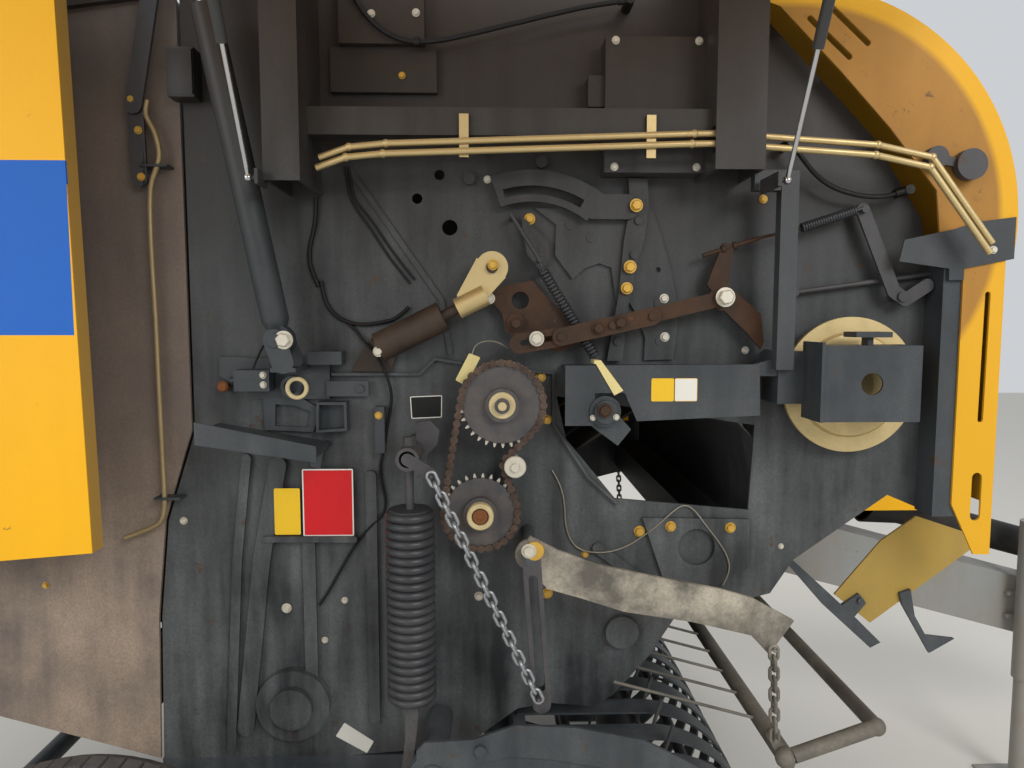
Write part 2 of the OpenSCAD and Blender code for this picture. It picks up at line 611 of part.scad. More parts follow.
// A bolt lies this far inside the end of a chain
bolt_in = 4.4;
float_bolts = [float_ends[0] + bolt_in * float_dir, float_ends[0] + (23 * link_pitch - bolt_in) * float_dir];
module float_chain() color("#b9bcc0") machine() right()
  link_chain([float_ends[0][0], float_y, float_ends[0][1]], [float_ends[1][0], float_y, float_ends[1][1]]);

// Bale size linkage on the wall
guide_c = [860, 1674];
guide_end = [1078, 1868];
// Pressed plate and tall plate that lie on spacers against the wall
module wall_plates2d() difference() {
  union() {
    polygon([[868, 1868], [918, 1830], [916, 1760], [957, 1705], [985, 1730], [1020, 1742], [1048, 1732], [1060, 1650],
      [1093, 1650], [1093, 1868]]);
    polygon([[1092, 1860], [1135, 1879], [1157, 1826], [1186, 1732], [1201, 1664], [1206, 1596], [1197, 1517], [1128, 1515],
      [1130, 1568], [1109, 1623], [1092, 1650]]);
  }
  translate([1158, 1727]) circle(r = 6);
}
module sector_plates() color("#23282a") machine() right() {
  plate(804, 810) wall_plates2d();
  for (p = [[950, 1830], [1000, 1800], [1160, 1650], [1165, 1560]]) cross_bar(p, wall_out, 812, 11);
  // Long bar in front of them
  plate(814, 822) polygon([[1083, 1935], [1127, 1932], [1131, 1876], [1122, 1797], [1103, 1730], [1084, 1623], [1075, 1514],
    [1038, 1514], [1063, 1663], [1075, 1797], [1088, 1870]]);
  for (p = [[1108, 1838], [1098, 1760], [1062, 1560]]) cross_bar(p, wall_out, 829, 9);
  // Curved guide with its slot, and its end link on the bar
  plate(826, 836) difference() {
    union() {
      ring_sector(guide_c, 205, 276, 52, 110);
      link2d(polar(guide_c, 240, 54), guide_end, 56);
    }
    ring_sector(guide_c, 221, 241, 60, 106);
  }
  cross_bar([1100, 1870], wall_out, 842, 11);
  // Hook bracket of the small spring and the hook itself
  plate(812, 820) polygon([[835, 1850], [900, 1790], [903, 1745], [880, 1725], [850, 1760]]);
  cross_bar([884, 1775], wall_out, 822, 9);
  cross_bar([877, 1746], 818, small_y + 5, 5);
  rod([812, small_y, 1848], [877, small_y, 1746], 5);
  cross_bar([815, 1844], wall_out, small_y, 6);
  // Pin of the small spring
  cross_bar(small_spring[0], wall_out, small_y - 14, 8);
}
// Bell crank with the links that run forwards from it
crank_pin = [823, 1604];
link_pins = [[869, 1567], [925, 1572], [1040, 1598], [1130, 1618]];
arm_pivot = [1299, 1661];
module tension_links() color("#5b3d28") machine() right() {
  plate(830, 838) difference() {
    polygon([[759, 1663], [793, 1687], [861, 1700], [908, 1650], [977, 1596], [987, 1562], [923, 1535], [840, 1569],
      [800, 1582], [793, 1623]]);
    translate([834, 1655]) circle(r = 20);
  }
  cross_bar(crank_pin, wall_out, 850, 20);
  cross_bar(link_pins[0], 832, 884, 9);
  for (i = [1:3]) cross_bar(link_pins[i], 868, 892, 9);
  plate(868, 876) difference() {
    link2d([830, 1556], link_pins[1], 44);
    link2d([838, 1558], [852, 1560], 12);
    link2d([888, 1566], [902, 1568], 12);
  }
  plate(878, 886) link2d(link_pins[1], link_pins[3], 40);
  plate(868, 876) link2d(link_pins[2], arm_pivot, 34);
  // Pivot on the wall with its two arms, and the threaded rod
  cross_bar(arm_pivot, wall_out, 884, 14);
  plate(838, 846) union() {
    translate(arm_pivot) circle(r = 30);
    polygon([[1264, 1690], [1273, 1717], [1299, 1786], [1326, 1786], [1312, 1684], [1299, 1650]]);
    polygon([[1296, 1640], [1318, 1684], [1391, 1623], [1400, 1560], [1393, 1541], [1360, 1580]]);
  }
  rod([1253, 842, 1757], [1382, 842, 1797], 5);
  for (x = [1296, 1322]) rod([x, 842, 1757 + (x - 1253) * 0.31], [x + 8, 842, 1757 + (x - 1245) * 0.31], 9);
  rod([1382, 842, 1797], [1475.5, small_y, 1818.9], 3.5);
}

// Actuator of the bale size: rear pin on a wall plate, rod in a sleeve with a ring at its front
act_rear = [514, 1548];
act_front = [750, 1664];
act_y = 872;
act_dir = (act_front - act_rear) / norm(act_front - act_rear);
function act_at(s) = [act_rear[0] + s * act_dir[0], act_y, act_rear[1] + s * act_dir[1]];
act_ring = [769, 1727];
module size_actuator() color("#3c3a38") machine() right() {
  rod(act_at(0), act_at(160), 34);
  rod(act_at(-6), act_at(4), 26);
  rod(act_at(159), act_at(245), 12);
  cross_bar([519, 1550], wall_out, act_y, 14);
  plate(wall_out, 808) polygon([[438, 1490], [480, 1560], [540, 1580], [545, 1530], [531, 1489]]);
  cross_bar(act_ring, wall_out, act_y + 14, 13);
}
module actuator_bracket() color("#a98432") machine() right() {
  difference() {
    union() {
      rod(act_at(197), act_at(268), 24);
      plate(act_y - 6, act_y + 6) union() {
        polygon([[700, 1640], [690, 1665], [735, 1748], [800, 1705], [750, 1650]]);
        translate(act_ring) circle(r = 36);
      }
    }
    rod(act_at(190), act_at(250), 12 + run);
    cross_bar(act_ring, act_y - 10, act_y + 10, 13 + run);
  }
}
// Plated adjuster at the foot of the small spring
module spring_clevis() color("#b08a3c") machine() right() {
  plate(900, 904) polygon([[996, 1520], [1012, 1520], [1063, 1452], [1043, 1441]]);
  box([997, 1011], [small_y - 6, 904], [1512, 1520]);
}

// Net brake: channel plate, box and disc
disc_c = [1604, 1459];
hub_c = [1023, 1405];
module brake_bracket() color("#272c2d") machine() right() {
  // Channel plate with its top flange
  plate(892, 900) polygon([[933, 1508], [1372, 1510], [1376, 1394], [1096, 1382], [1067, 1446], [1000, 1446], [1000, 1372],
    [933, 1372]]);
  box([933, 1372], [wall_out, 892], [1497, 1505]);
  // Bearing in the notch, on an arm behind the plate
  cross_bar(hub_c, 806, 926, 12);
  cross_bar(hub_c, 884, 920, 26);
  cross_bar(hub_c, 900, 906, 35);
  plate(882, 892) polygon([[985, 1376], [1054, 1325], [1084, 1362], [1040, 1412], [985, 1412]]);
  // Cover box over the disc, with its flange and handle
  difference() {
    box([1481, 1697], [892, 980], [1389, 1555]);
    box([1487, 1691], [888, 974], [1383, 1549]);
    cross_bar([1589, 1472], 960, 990, 24);
  }
  box([1475, 1482], [886, 986], [1389, 1562]);
  box([1560, 1640], [900, 960], [1572, 1584]);
  box([1594, 1606], [915, 945], [1554, 1573]);
  // Arm that carries the box
  box([1415, 1476], [892, 898], [1420, 1540]);
  box([1415, 1435], [wall_out, 892], [1420, 1540]);
  // Post that hangs beside it, from a cap under the door post to a foot on the plate
  box([1401, 1440], [892, 922], [1499, 1935]);
  box([1342, 1430], [894, 920], [1892, post_low_z[1] - seat]);
  box([1352, 1430], [894, 920], [1892, 1936]);
  plate(882, 893) polygon([[1350, 1507], [1441, 1531], [1438, 1483], [1350, 1483]]);
}
module brake_disc() color("#b7a873") machine() right() {
  translate([disc_c[0], 0, disc_c[1]]) rotate([-90, 0, 0]) rotate_extrude($fn = 96)
    polygon([[0, wall_out], [30, wall_out], [30, 852], [110, 846], [112, 838], [158, 838], [158, 850], [124, 850], [118, 858], [40, 864],
      [40, 880], [0, 880]]);
}

// Hydraulic pipes: points of the route in X and Z
pipe_y = 940;
pipe_route = [[404, 1952], [467, 1974], [545, 1982], [1202, 2006], [1265, 2007], [1600, 1985], [1720, 1960], [1862, 1777]];
module hydraulic_lines() color("#9c8a4a") machine() right() {
  for (k = [0, 1]) {
    y = pipe_y + k * 4;
    pts = [for (p = pipe_route) [p[0] - k * 6, y, p[1] - k * 22]];
    for (i = [0:len(pts) - 2]) rod(pts[i], pts[i + 1], 7);
    for (i = [1:len(pts) - 2]) translate(pts[i]) sphere(r = 9);
  }
  // Clamps on the square tube
  for (x = [700, 1100]) box([x, x + 20], [928, pipe_y - 1], [1955, 2045]);
  // Ends of the two hoses: a boss on the machine and a ferrule, which meets the hose face to face
  for (e = [[hood_hose_route[0], [-16, 20], wall_out], [hood_hose_route[len(hood_hose_route) - 1], [30, 9], wall_out],
    [top_hose_route[0], [-12, 27], 840], [top_hose_route[len(top_hose_route) - 1], [26, 4], wall_out]]) {
    rod([e[0][0] + e[1][0], e[0][1], e[0][2] + e[1][1]], e[0], 8);
    cross_bar([e[0][0] + e[1][0], e[0][2] + e[1][1]], e[2], e[0][1] + 10, 11);
  }
  // Clip of the top hose
  difference() {
    union() {
      rod([598, hose_y, 2222], [610, hose_y, 2222], 10);
      box([598, 610], [840, hose_y], [2222, 2232]);
    }
    rod([597, hose_y, 2222], [611, hose_y, 2222], hose_r + 0.1);
  }
}

// Free hoses: points of each route, swept with rings of eight corners
hose_y = 851;
hose_r = 5.5;
hood_hose_route = [for (p = [[1462, 1990], [1470, 1980], [1482, 1965], [1495, 1950], [1509, 1936], [1525, 1924], [1543, 1913],
  [1562, 1905], [1582, 1899], [1603, 1894], [1624, 1891], [1645, 1890], [1664, 1891], [1680, 1894], [1690, 1897]])
  [p[0], hose_y, p[1]]];
top_hose_route = [for (p = [[460, 2334], [468, 2316], [478, 2298], [490, 2281], [504, 2266], [520, 2252], [538, 2240], [558, 2231],
  [578, 2224], [597, 2222], [611, 2222], [634, 2223], [658, 2226], [684, 2231], [710, 2237], [736, 2243], [762, 2249],
  [788, 2256], [814, 2262], [840, 2268], [866, 2275], [892, 2281], [918, 2287], [944, 2293], [970, 2299], [998, 2304],
  [1024, 2308], [1050, 2312]])
  [p[0], hose_y, p[1]]];
function unit(v) = v / norm(v);
function heading(p, i) = unit(p[min(i + 1, len(p) - 1)] - p[max(i - 1, 0)]);
module hose(p, r, n = 8) polyhedron(
  points = [for (i = [0:len(p) - 1]) let (d = heading(p, i), u = unit(cross(d, [0, 1, 0])), v = cross(d, u))
    for (k = [0:n - 1]) p[i] + r * (cos(k * 360 / n) * u + sin(k * 360 / n) * v)],
  faces = concat([[for (k = [0:n - 1]) k]], [[for (k = [n - 1:-1:0]) (len(p) - 1) * n + k]],
    [for (i = [0:len(p) - 2]) for (k = [0:n - 1]) let (a = i * n + k, b = i * n + (k + 1) % n) each [[a, a + n, b + n], [a, b + n, b]]]));
module hood_hose() color("#17181a") machine() right() hose(hood_hose_route, hose_r);
module top_hose() color("#17181a") machine() right() hose(top_hose_route, hose_r);

// Gate cylinder lug, latch hook and stop bar
cyl_pin = [300, 1566];
cyl_y = 900;
cyl_pin_r = 15;
lug_y = [[858, 866], [934, 942]];
module latch_hooks() color("#202325") machine() {
  both() {
    // Base plate and the U lug of the cylinder
    plate(wall_out, 812) polygon([[133, 1525], [247, 1521], [267, 1506], [389, 1506], [388, 1425], [219, 1426], [133, 1480]]);
    box([289, 344], [wall_out, lug_y[1][1]], [1497, 1506]);
    for (y = lug_y) plate(y[0], y[1]) link2d(cyl_pin, [316, 1518], 48);
    cross_bar(cyl_pin, lug_y[0][0], lug_y[1][1] + 6, cyl_pin_r);
    // Hook with a D shaped loop, and its pocket
    plate(wall_out, 814) difference() {
      polygon([[233, 1430], [318, 1430], [362, 1404], [363, 1392], [348, 1347], [235, 1353]]);
      polygon([[261, 1413], [309, 1410], [343, 1396], [336, 1358], [259, 1362]]);
    }
    difference() {
      plate(wall_out, 838) polygon([[362, 1420], [431, 1420], [432, 1353], [360, 1349]]);
      plate(806, 842) polygon([[368, 1414], [425, 1414], [426, 1359], [366, 1355]]);
    }
    // Stop bar that sticks out from the wall
    plate(wall_out, 950) polygon([[125, 1368], [386, 1322], [386, 1312], [125, 1358]]);
    plate(944, 950) polygon([[125, 1390], [386, 1336], [386, 1300], [125, 1340]]);
    plate(wall_out, 812) polygon([[340, 1326], [376, 1326], [362, 1259], [338, 1264]]);
  }
  right() {
    // Valve with its knob, bushing, black box and bar
    box([182, 262], [812, 860], [1448, 1496]);
    rod([183, 836, 1472], [168, 836, 1470], 9);
    plate(812, 836) difference() {
      translate([305, 1456]) circle(r = 25);
      translate([305, 1456]) circle(r = 17);
    }
    box([346, 425], [wall_out, 852], [1508, 1538]);
    box([382, 480], [812, 820], [1432, 1468]);
    cross_bar([460, 1450], wall_out, 826, 9);
    box([495, 517], [wall_out, 830], [1299, 1408]);
  }
}

// Yellow deflector plate with its bar and lever under the right wall
module deflector_plate() color("#e0a21e") machine() right()
  plate(700, 706) polygon([[1655, 900], [1771, 1041], [1861, 1106], [2004, 1058], [2038, 1039], [1752, 823]]);
module hold_down_lever() color("#191a1b") machine() right() {
  plate(706, 716) polygon([[1489, 1028], [1500, 1068], [1530, 1068], [1536, 999], [1672, 875], [1715, 905], [1735, 880],
    [1706, 844], [1777, 774], [1750, 760], [1623, 876]]);
  plate(706, 716) polygon([[1830, 874], [1822, 905], [1850, 915], [1864, 845], [1895, 792], [1972, 782], [1907, 744]]);
  box([1500, 1534], [706, wall_in], [1058, 1070]);
  cross_bar([1718, 888], 714, 722, 8);
}
// Bent lever, thin rod and two knobs under the hood
module hood_lever() color("#34383a") machine() right() {
  plate(836, 844) path2d([[1622, 1862], [1702, 1676], [1730, 1657], [1780, 1690]], 31);
  cross_bar([1722, 1664], wall_out, 850, 12);
  rod([1600.5, small_y, 1859.2], [1622, small_y, 1866], 3.5);
  cross_bar([1622, 1862], 844, small_y + 4, 8);
  rod([1470, 820, 1673], [1799, 820, 1718], 6);
  cross_bar([1478, 1674], wall_out, 828, 9);
  for (k = [[[1830, 1953], 34], [[1752, 1968], 24]]) {
    cross_bar(k[0], hood_y[1], hood_y[1] + 14, 9);
    cross_bar(k[0], hood_y[1] + 10, hood_y[1] + 32, k[1]);
  }
  plate(hood_y[1] + 12, hood_y[1] + 20) link2d([1752, 1968], [1830, 1953], 20);
}
module bale_ramp() color("#1f2224") machine() {
  both() {
    box([-axle_beam_w / 2 - 12, -axle_beam_w / 2], [655, 745], [axle_z - 50, axle_z + 50]);
    rod([-axle_beam_w / 2 - 8, 700, axle_z], [-620, 700, 250], 26);
  }
  rod([-620, -730, 250], [-620, 730, 250], 30);
}

// Gate
module gate_outline(r, front) difference() {
  union() {
    translate(gate_rear_c) circle(r = r, $fn = 128);
    polygon([[front, 2500], [-450, gate_rear_c[1] + r], [-450, gate_rear_c[1] - r], [-45, 540], [200, 540], [200, 2500]]);
  }
  polygon(concat(split, [[700, 540], [700, 2600], [60, 2600]]));
}
module gate_walls() color("#2a2320") machine() both() plate(wall_in, wall_out) gate_outline(gate_rear_r, 60);
panel_c = [-450, 1580];
panel_r = 860;
module panel_outline(r, edge) intersection() {
  translate(panel_c) circle(r = r, $fn = 128);
  polygon([[-66 - edge, panel_low_z + edge], [-90 - edge, 2420 - edge], [-1400, 2420 - edge], [-1400, panel_low_z - 15 + edge], [-255, panel_low_z - 15 + edge]]);
}
block_z = [1579, 1927];
module gate_panels() color("#f3b50c") machine() both() {
  plate(panel_out - sheet_t, panel_out) difference() {
    panel_outline(panel_r, 0);
    translate([-1500, block_z[0]]) square([1420, block_z[1] - block_z[0]]);
  }
  plate(panel_out - 45, panel_out - sheet_t) difference() {
    panel_outline(panel_r, 0);
    panel_outline(panel_r - sheet_t, sheet_t);
  }
  // Brackets back to the gate wall
  for (p = [[-300, 1300], [-300, 2200], [-900, 2100], [-1000, 1300]]) cross_bar(p, wall_out, panel_out - sheet_t, 16);
}
module gate_panel_blocks() color("#1f6fc4") machine() both() plate(panel_out - sheet_t, panel_out) intersection() {
  panel_outline(panel_r, 0);
  translate([-1500, block_z[0]]) square([1420, block_z[1] - block_z[0]]);
}
rod_eye = [120, 2480];
module gate_frame() color("#1f2224") machine() {
  both() {
    // Hinge arm outside the wall, with the cylinder lug
    plate(arm_y[0], arm_y[1]) difference() {
      union() {
        translate(gate_hinge) circle(r = 55);
        polygon([[-200, 2420], [-200, 2300], [20, 2330], [380, gate_hinge_z - 46], [340, gate_hinge_z + 54], [0, 2520]]);
      }
      translate(gate_hinge) circle(r = gate_pin_r + run);
    }
    plate(wall_out, arm_y[0]) polygon([[-200, 2420], [-200, 2300], [20, 2330], [20, 2440]]);
    plate(arm_y[1], 874) link2d(rod_eye, rod_eye + [-80, -30], 60);
    plate(926, 938) link2d(rod_eye, rod_eye + [-80, -30], 60);
    plate(874, 926) translate(rod_eye + [-92, -34]) circle(r = 18);
  }
  box([-1330, -1270], [-wall_in, wall_in], [1500, 1570]);
  box([-700, -640], [-wall_in, wall_in], [2380, 2430]);
}
gate_rollers_at = [[-110, 700], [-520, 745], [-1080, 1100], [-1180, 1500], [-1060, 2020], [-560, 2330], [-90, 2380]];
module gate_rollers() color("#4b4a47") machine() for (p = gate_rollers_at) cross_bar(p, -wall_in, wall_in, roller_r);
module gate_belts() color("#2f2e2c") machine() belt_set(gate_rollers_at);
module latch_rods() color("#b5b7ba") machine() both() {
  rod([35, 830, 2089], [30, 830, 1128], 6);
  rod([30, 830, 1128], [-64, 830, 1110], 6);
  translate([30, 830, 1128]) sphere(r = 8);
  for (z = [1200, 1950]) box([-10, 60], [wall_out, 840], [z, z + 10]);
}
module tail_lamps() color("#a3201c") machine() both() {
  box([-1347, -1330 - seat], [620, 760], [1500, 1570]);
}

// Gate cylinders
cyl_vec = rod_eye - cyl_pin;
cyl_len = norm(cyl_vec);
cyl_tilt = atan2(cyl_vec[0], cyl_vec[1]);
module along_cyl(s) translate([cyl_pin[0], cyl_y, cyl_pin[1]]) rotate([0, cyl_tilt, 0]) translate([0, 0, s]) children();
module gate_barrels() color("#1a1b1d") machine() both() {
  difference() {
    union() {
      along_cyl(0) translate([0, 18, 0]) rotate([90, 0, 0]) cylinder(r = 32, h = 36);
      along_cyl(20) cylinder(r1 = 20, r2 = 30, h = 24);
      along_cyl(44) cylinder(r = 30, h = 676);
    }
    along_cyl(60) cylinder(r = 24, h = 640);
    along_cyl(690) cylinder(r = 16 + seat, h = 40);
    cross_bar(cyl_pin, cyl_y - 60, cyl_y + 60, cyl_pin_r + run);
  }
}
module gate_rods() color("#c9ccd0") machine() both() {
  along_cyl(cyl_len) difference() {
    union() {
      translate([0, 18, 0]) rotate([90, 0, 0]) cylinder(r = 30, h = 36);
      translate([0, 0, -840]) cylinder(r = 16, h = 820);
    }
    translate([0, 30, 0]) rotate([90, 0, 0]) cylinder(r = 15, h = 60);
  }
}

// Doors. The closed door is drawn on the left side and turned about its hinge line for the open one.
door_skin_r = 700 * 700 / (2 * door_bulge) + door_bulge / 2;
door_mid_z = door_hinge_z - 35 - door_h / 2;
door_edge_o = door_hinge_y - 5;
module door_section(inset) intersection() {
  translate([door_edge_o + door_bulge - door_skin_r - inset, door_mid_z]) circle(r = door_skin_r, $fn = 360);
  translate([900, door_mid_z - door_h / 2 + inset]) square([400, door_h - 2 * inset]);
}
door_flange = 22;
strut_door_n = 97.5;
strut_door_a = 219.7;
strut_door_closed = [door_hinge_y - strut_door_n, door_hinge_z - strut_door_a];
module along_x(x0, x1) translate([x0, 0, 0]) rotate([90, 0, 90]) linear_extrude(x1 - x0) children();
module door_closed() {
  // Skin with a flange round its edge
  difference() {
    along_x(door_rear_x, door_front_x) intersection() {
      door_section(0);
      translate([door_edge_o - door_flange, door_mid_z - door_h]) square([300, 2 * door_h]);
    }
    along_x(door_rear_x + sheet_t, door_front_x - sheet_t) door_section(sheet_t);
  }
  // Ribs inside the skin that carry the hinges and struts
  for (i = [0, 1]) along_x(post_x[i][0] + 16, post_x[i][0] + 50) difference() {
    union() {
      translate([door_hinge_y, door_hinge_z]) circle(r = 24);
      polygon([[door_hinge_y - 22, door_hinge_z], [door_hinge_y + 24, door_hinge_z], [door_hinge_y + 14, door_hinge_z - 200],
        [door_hinge_y - 4, door_hinge_z - 200]]);
    }
    translate([door_hinge_y, door_hinge_z]) circle(r = door_pin_r + run);
  }
  strut_bracket(strut_x[0] - strut_ball_r - seat - 8);
  strut_bracket(strut_x[1] + strut_ball_r + seat);
}
strut_ball_r = 13;
strut_end_r = 9;
// Bracket from the skin to the ball of a strut, beside the ball
module strut_bracket(x) along_x(x, x + 8) difference() {
  union() {
    translate(strut_door_closed) circle(r = 16);
    polygon([strut_door_closed + [0, 16], [door_edge_o + 14, door_hinge_z - 170], [door_edge_o + 20, door_hinge_z - 270], strut_door_closed - [0, 16]]);
  }
}
module door_left() color("#f3b50c") machine() door_closed();
module turn_door() translate([0, door_hinge_y, door_hinge_z]) rotate([door_open, 0, 0]) translate([0, -door_hinge_y, -door_hinge_z]) children();
module door_right() color("#f3b50c") machine() right() turn_door() door_closed();

// Gas struts, drawn from the door eye towards the post pin
strut_open_d = [door_hinge_y + strut_door_a * sin(door_open) - strut_door_n * cos(door_open),
  door_hinge_z - strut_door_a * cos(door_open) - strut_door_n * sin(door_open)];
tube_len = 300;
module along_strut(d) {
  v = strut_pin - d;
  translate([0, d[0], d[1]]) rotate([atan2(-v[0], v[1]), 0, 0]) children();
}
module strut_tube(d) for (x = strut_x) translate([x, 0, 0]) along_strut(d) difference() {
  union() {
    translate([0, 0, 10]) cylinder(r = 11, h = tube_len);
    sphere(r = strut_ball_r);
  }
  translate([0, 0, 30]) cylinder(r = 8, h = tube_len - 40);
  translate([0, 0, 40]) cylinder(r = 5 + seat, h = tube_len);
}
module strut_rod(d) for (x = strut_x) translate([x, 0, 0]) along_strut(d) {
  l = norm(strut_pin - d);
  translate([0, 0, l - 300]) cylinder(r = 5, h = 294);
  translate([0, 0, l]) sphere(r = strut_end_r);
}
module strut_tubes_right() color("#8d9092") machine() right() strut_tube(strut_open_d);
module strut_rods_right() color("#c4c7c9") machine() right() strut_rod(strut_open_d);
module strut_tubes_left() color("#8d9092") machine() strut_tube(strut_door_closed);
module strut_rods_left() color("#c4c7c9") machine() strut_rod(strut_door_closed);

// Pickup
reel_c = [1150, 365];
reel_shaft_r = 20;
reel_half = pickup_half - 85;
// Tines on each bar, spaced so that each wall passes between two bands
tine_count = 16;
tine_pitch = 2 * reel_half / tine_count;
lift_arm_top = [[607, 701], [624, 719], [727, 724], [818, 755], [945, 747], [1089, 718], [1171, 675], [1265, 624]];
lift_arm_low = [[1090, 622], [1032, 653], [887, 679], [801, 686], [761, 675], [658, 647], [606, 631]];
module pickup_frame() color("#1f2224") machine() {
  both() {
    plate(pickup_half - pickup_plate_t, pickup_half) difference() {
      union() {
        translate(reel_c) circle(r = 225, $fn = 64);
        polygon([[600, 600], [640, 690], [900, 740], [1180, 620], [1180, 300], [960, 240], [620, 580]]);
        link2d(pickup_pivot, pickup_pivot + [60, -20], 110);
      }
      translate(pickup_pivot) circle(r = pickup_pivot_r + run);
      translate(reel_c) circle(r = reel_shaft_r + run);
    }
    cross_bar([1000, gauge_r + 10], pickup_half, pickup_half + 110, 14);
    // Lift arm outside the plate
    plate(pickup_half, pickup_half + 8) difference() {
      union() {
        polygon(concat(lift_arm_top, lift_arm_low));
        translate(pickup_pivot) circle(r = 52);
      }
      translate(pickup_pivot) circle(r = pickup_pivot_r + run);
    }
    cross_bar([742, 702], pickup_half + 6, pickup_half + 16, 12);
  }
  cross_bar([790, 520], -pickup_half + pickup_plate_t, pickup_half - pickup_plate_t, 45);
}
module band2d(r) {
  translate(reel_c) circle(r = r, $fn = 64);
  translate([reel_c[0] - 330, reel_c[1]]) square([330, r]);
  translate([reel_c[0] - 150, reel_c[1] - r]) square([150, r]);
}
module pickup_bands() color("#2a2b2b") machine() {
  for (i = [0:tine_count]) {
    y = (i - tine_count / 2) * tine_pitch;
    plate(y - band_w / 2, y + band_w / 2) difference() {
      band2d(band_r);
      band2d(band_r - 5);
      translate([reel_c[0] - 400, reel_c[1] - 400]) square([250, 640]);
      translate([reel_c[0] - 401, reel_c[1] - 240]) square([80, 600]);
    }
  }
  // Beams the bands are bolted to
  box([reel_c[0] - 330, reel_c[0] - 300], [-pickup_half + pickup_plate_t, pickup_half - pickup_plate_t], [reel_c[1] + band_r - 40, reel_c[1] + band_r - 5]);
  box([reel_c[0] - 150, reel_c[0] - 130], [-pickup_half + pickup_plate_t, pickup_half - pickup_plate_t], [reel_c[1] - band_r + 5, reel_c[1] - band_r + 25]);
}
module pickup_reel() color("#46423c") machine() {
  cross_bar(reel_c, -pickup_half - 6, pickup_half + 6, reel_shaft_r);
  cross_bar(reel_c, -reel_half - 50, reel_half + 50, 60);
  both() cross_bar(reel_c, reel_half, reel_half + 10, 190);
  for (a = [0, 90, 180, 270]) {
    p = polar(reel_c, 160, a);
    cross_bar(p, -reel_half - 2, reel_half + 2, 16, 24);
    for (i = [0:tine_count - 1]) {
      y = (i - (tine_count - 1) / 2) * tine_pitch;
      q = polar(reel_c, tine_tip_r, a - 8);
      rod([p[0], y, p[1]], [q[0], y, q[1]], 5, 6);
    }
  }
}

// Wind guard: long arms, two tubes, spring rods, short hanging chain
guard_a = [1420, 640];
guard_b = [1620, 710];
guard_y = 1000;
guard_in_y = 220;
guard_chain = [[1383, 896], [1392, 672]];
guard_chain_n = 9;
guard_dir = (guard_chain[1] - guard_chain[0]) / norm(guard_chain[1] - guard_chain[0]);
guard_chain_low = guard_chain[0] + (guard_chain_n * link_pitch - bolt_in) * guard_dir;
module wind_guard() color("#3a3129") machine() {
  both() {
    plate(guard_y - 25, guard_y - 15) difference() {
      union() {
        polygon([[831, 1117], [850, 1143], [911, 1111], [1015, 1075], [1142, 1047], [1265, 1022], [1341, 1000], [1434, 948],
          [1380, 872], [1339, 916], [1208, 948], [1056, 973], [963, 1004], [888, 1026], [850, 1070]]);
        translate(lift_pin) circle(r = 34);
      }
      translate(lift_pin) circle(r = lift_pin_r + run);
    }
    // Hanging chain between a bolt on the arm and a lug on the tube
    link_chain([guard_chain[0][0], guard_y + 3, guard_chain[0][1]],
      [guard_chain_low[0], guard_y + 3, guard_chain_low[1]] + (bolt_in + 1) * [guard_dir[0], 0, guard_dir[1]]);
    cross_bar(guard_chain[0] + bolt_in * guard_dir, guard_y - 18, guard_y + 12, link_r);
    cross_bar(guard_chain_low, guard_y - 18, guard_y + 12, link_r);
    plate(guard_y - 22, guard_y - 14) link2d(guard_chain_low, guard_a, 24);
    rod([guard_a[0], guard_y, guard_a[1]], [guard_b[0], guard_y, guard_b[1]], 17);
    rod([guard_b[0], guard_y, guard_b[1]], [guard_b[0], guard_in_y, guard_b[1]], 17);
    rod([guard_b[0], guard_in_y, guard_b[1]], [guard_a[0], guard_in_y, guard_a[1]], 17);
    for (y = [guard_y, guard_in_y]) translate([guard_b[0], y, guard_b[1]]) sphere(r = 20);
    translate([guard_a[0], guard_y, guard_a[1]]) sphere(r = 24);
  }
  for (i = [-7:7]) rod([guard_a[0], tine_pitch * i, guard_a[1]], [1060, tine_pitch * i, 740], 4, 8);
  cross_bar(guard_a, -guard_y, guard_y, 20);
}

// Gauge wheels and road wheels
module gauge_wheel() translate([1000, 0, gauge_r + 10]) rotate([-90, 0, 0]) rotate_extrude($fn = 64) polygon([
  [14 + run, pickup_half + 20], [60, pickup_half + 20], [60, pickup_half + 40], [gauge_r - 60, pickup_half + 40],
  [gauge_r - 60, pickup_half + 20], [gauge_r - 20, pickup_half + 15], [gauge_r, pickup_half + 35], [gauge_r, pickup_half + 75],
  [gauge_r - 20, pickup_half + 95], [gauge_r - 60, pickup_half + 90], [gauge_r - 60, pickup_half + 55], [60, pickup_half + 55],
  [60, pickup_half + 90], [14 + run, pickup_half + 90]]);
module gauge_wheel_left() color("#1c1c1c") machine() gauge_wheel();
module gauge_wheel_right() color("#1c1c1c") machine() right() gauge_wheel();

module revolve_wheel() translate([0, track_half, axle_z]) rotate([-90, 0, 0]) rotate_extrude($fn = 96) children();
half_tyre = tyre_w / 2;
module tyre_profile() difference() {
  union() {
    polygon([[rim_r, -half_tyre * 0.62], [rim_r + 60, -half_tyre * 0.96], [rim_r + 110, -half_tyre], [tyre_r - 60, -half_tyre * 0.97],
      [tyre_r - 14, -half_tyre * 0.78], [tyre_r, -half_tyre * 0.62], [tyre_r, half_tyre * 0.62], [tyre_r - 14, half_tyre * 0.78],
      [tyre_r - 60, half_tyre * 0.97], [rim_r + 110, half_tyre], [rim_r + 60, half_tyre * 0.96], [rim_r, half_tyre * 0.62]]);
  }
  // Grooves between the ribs of the tread
  for (y = [-0.42, -0.14, 0.14, 0.42]) translate([tyre_r - 12, y * tyre_w - 5]) square([20, 10]);
}
module tyre() revolve_wheel() tyre_profile();
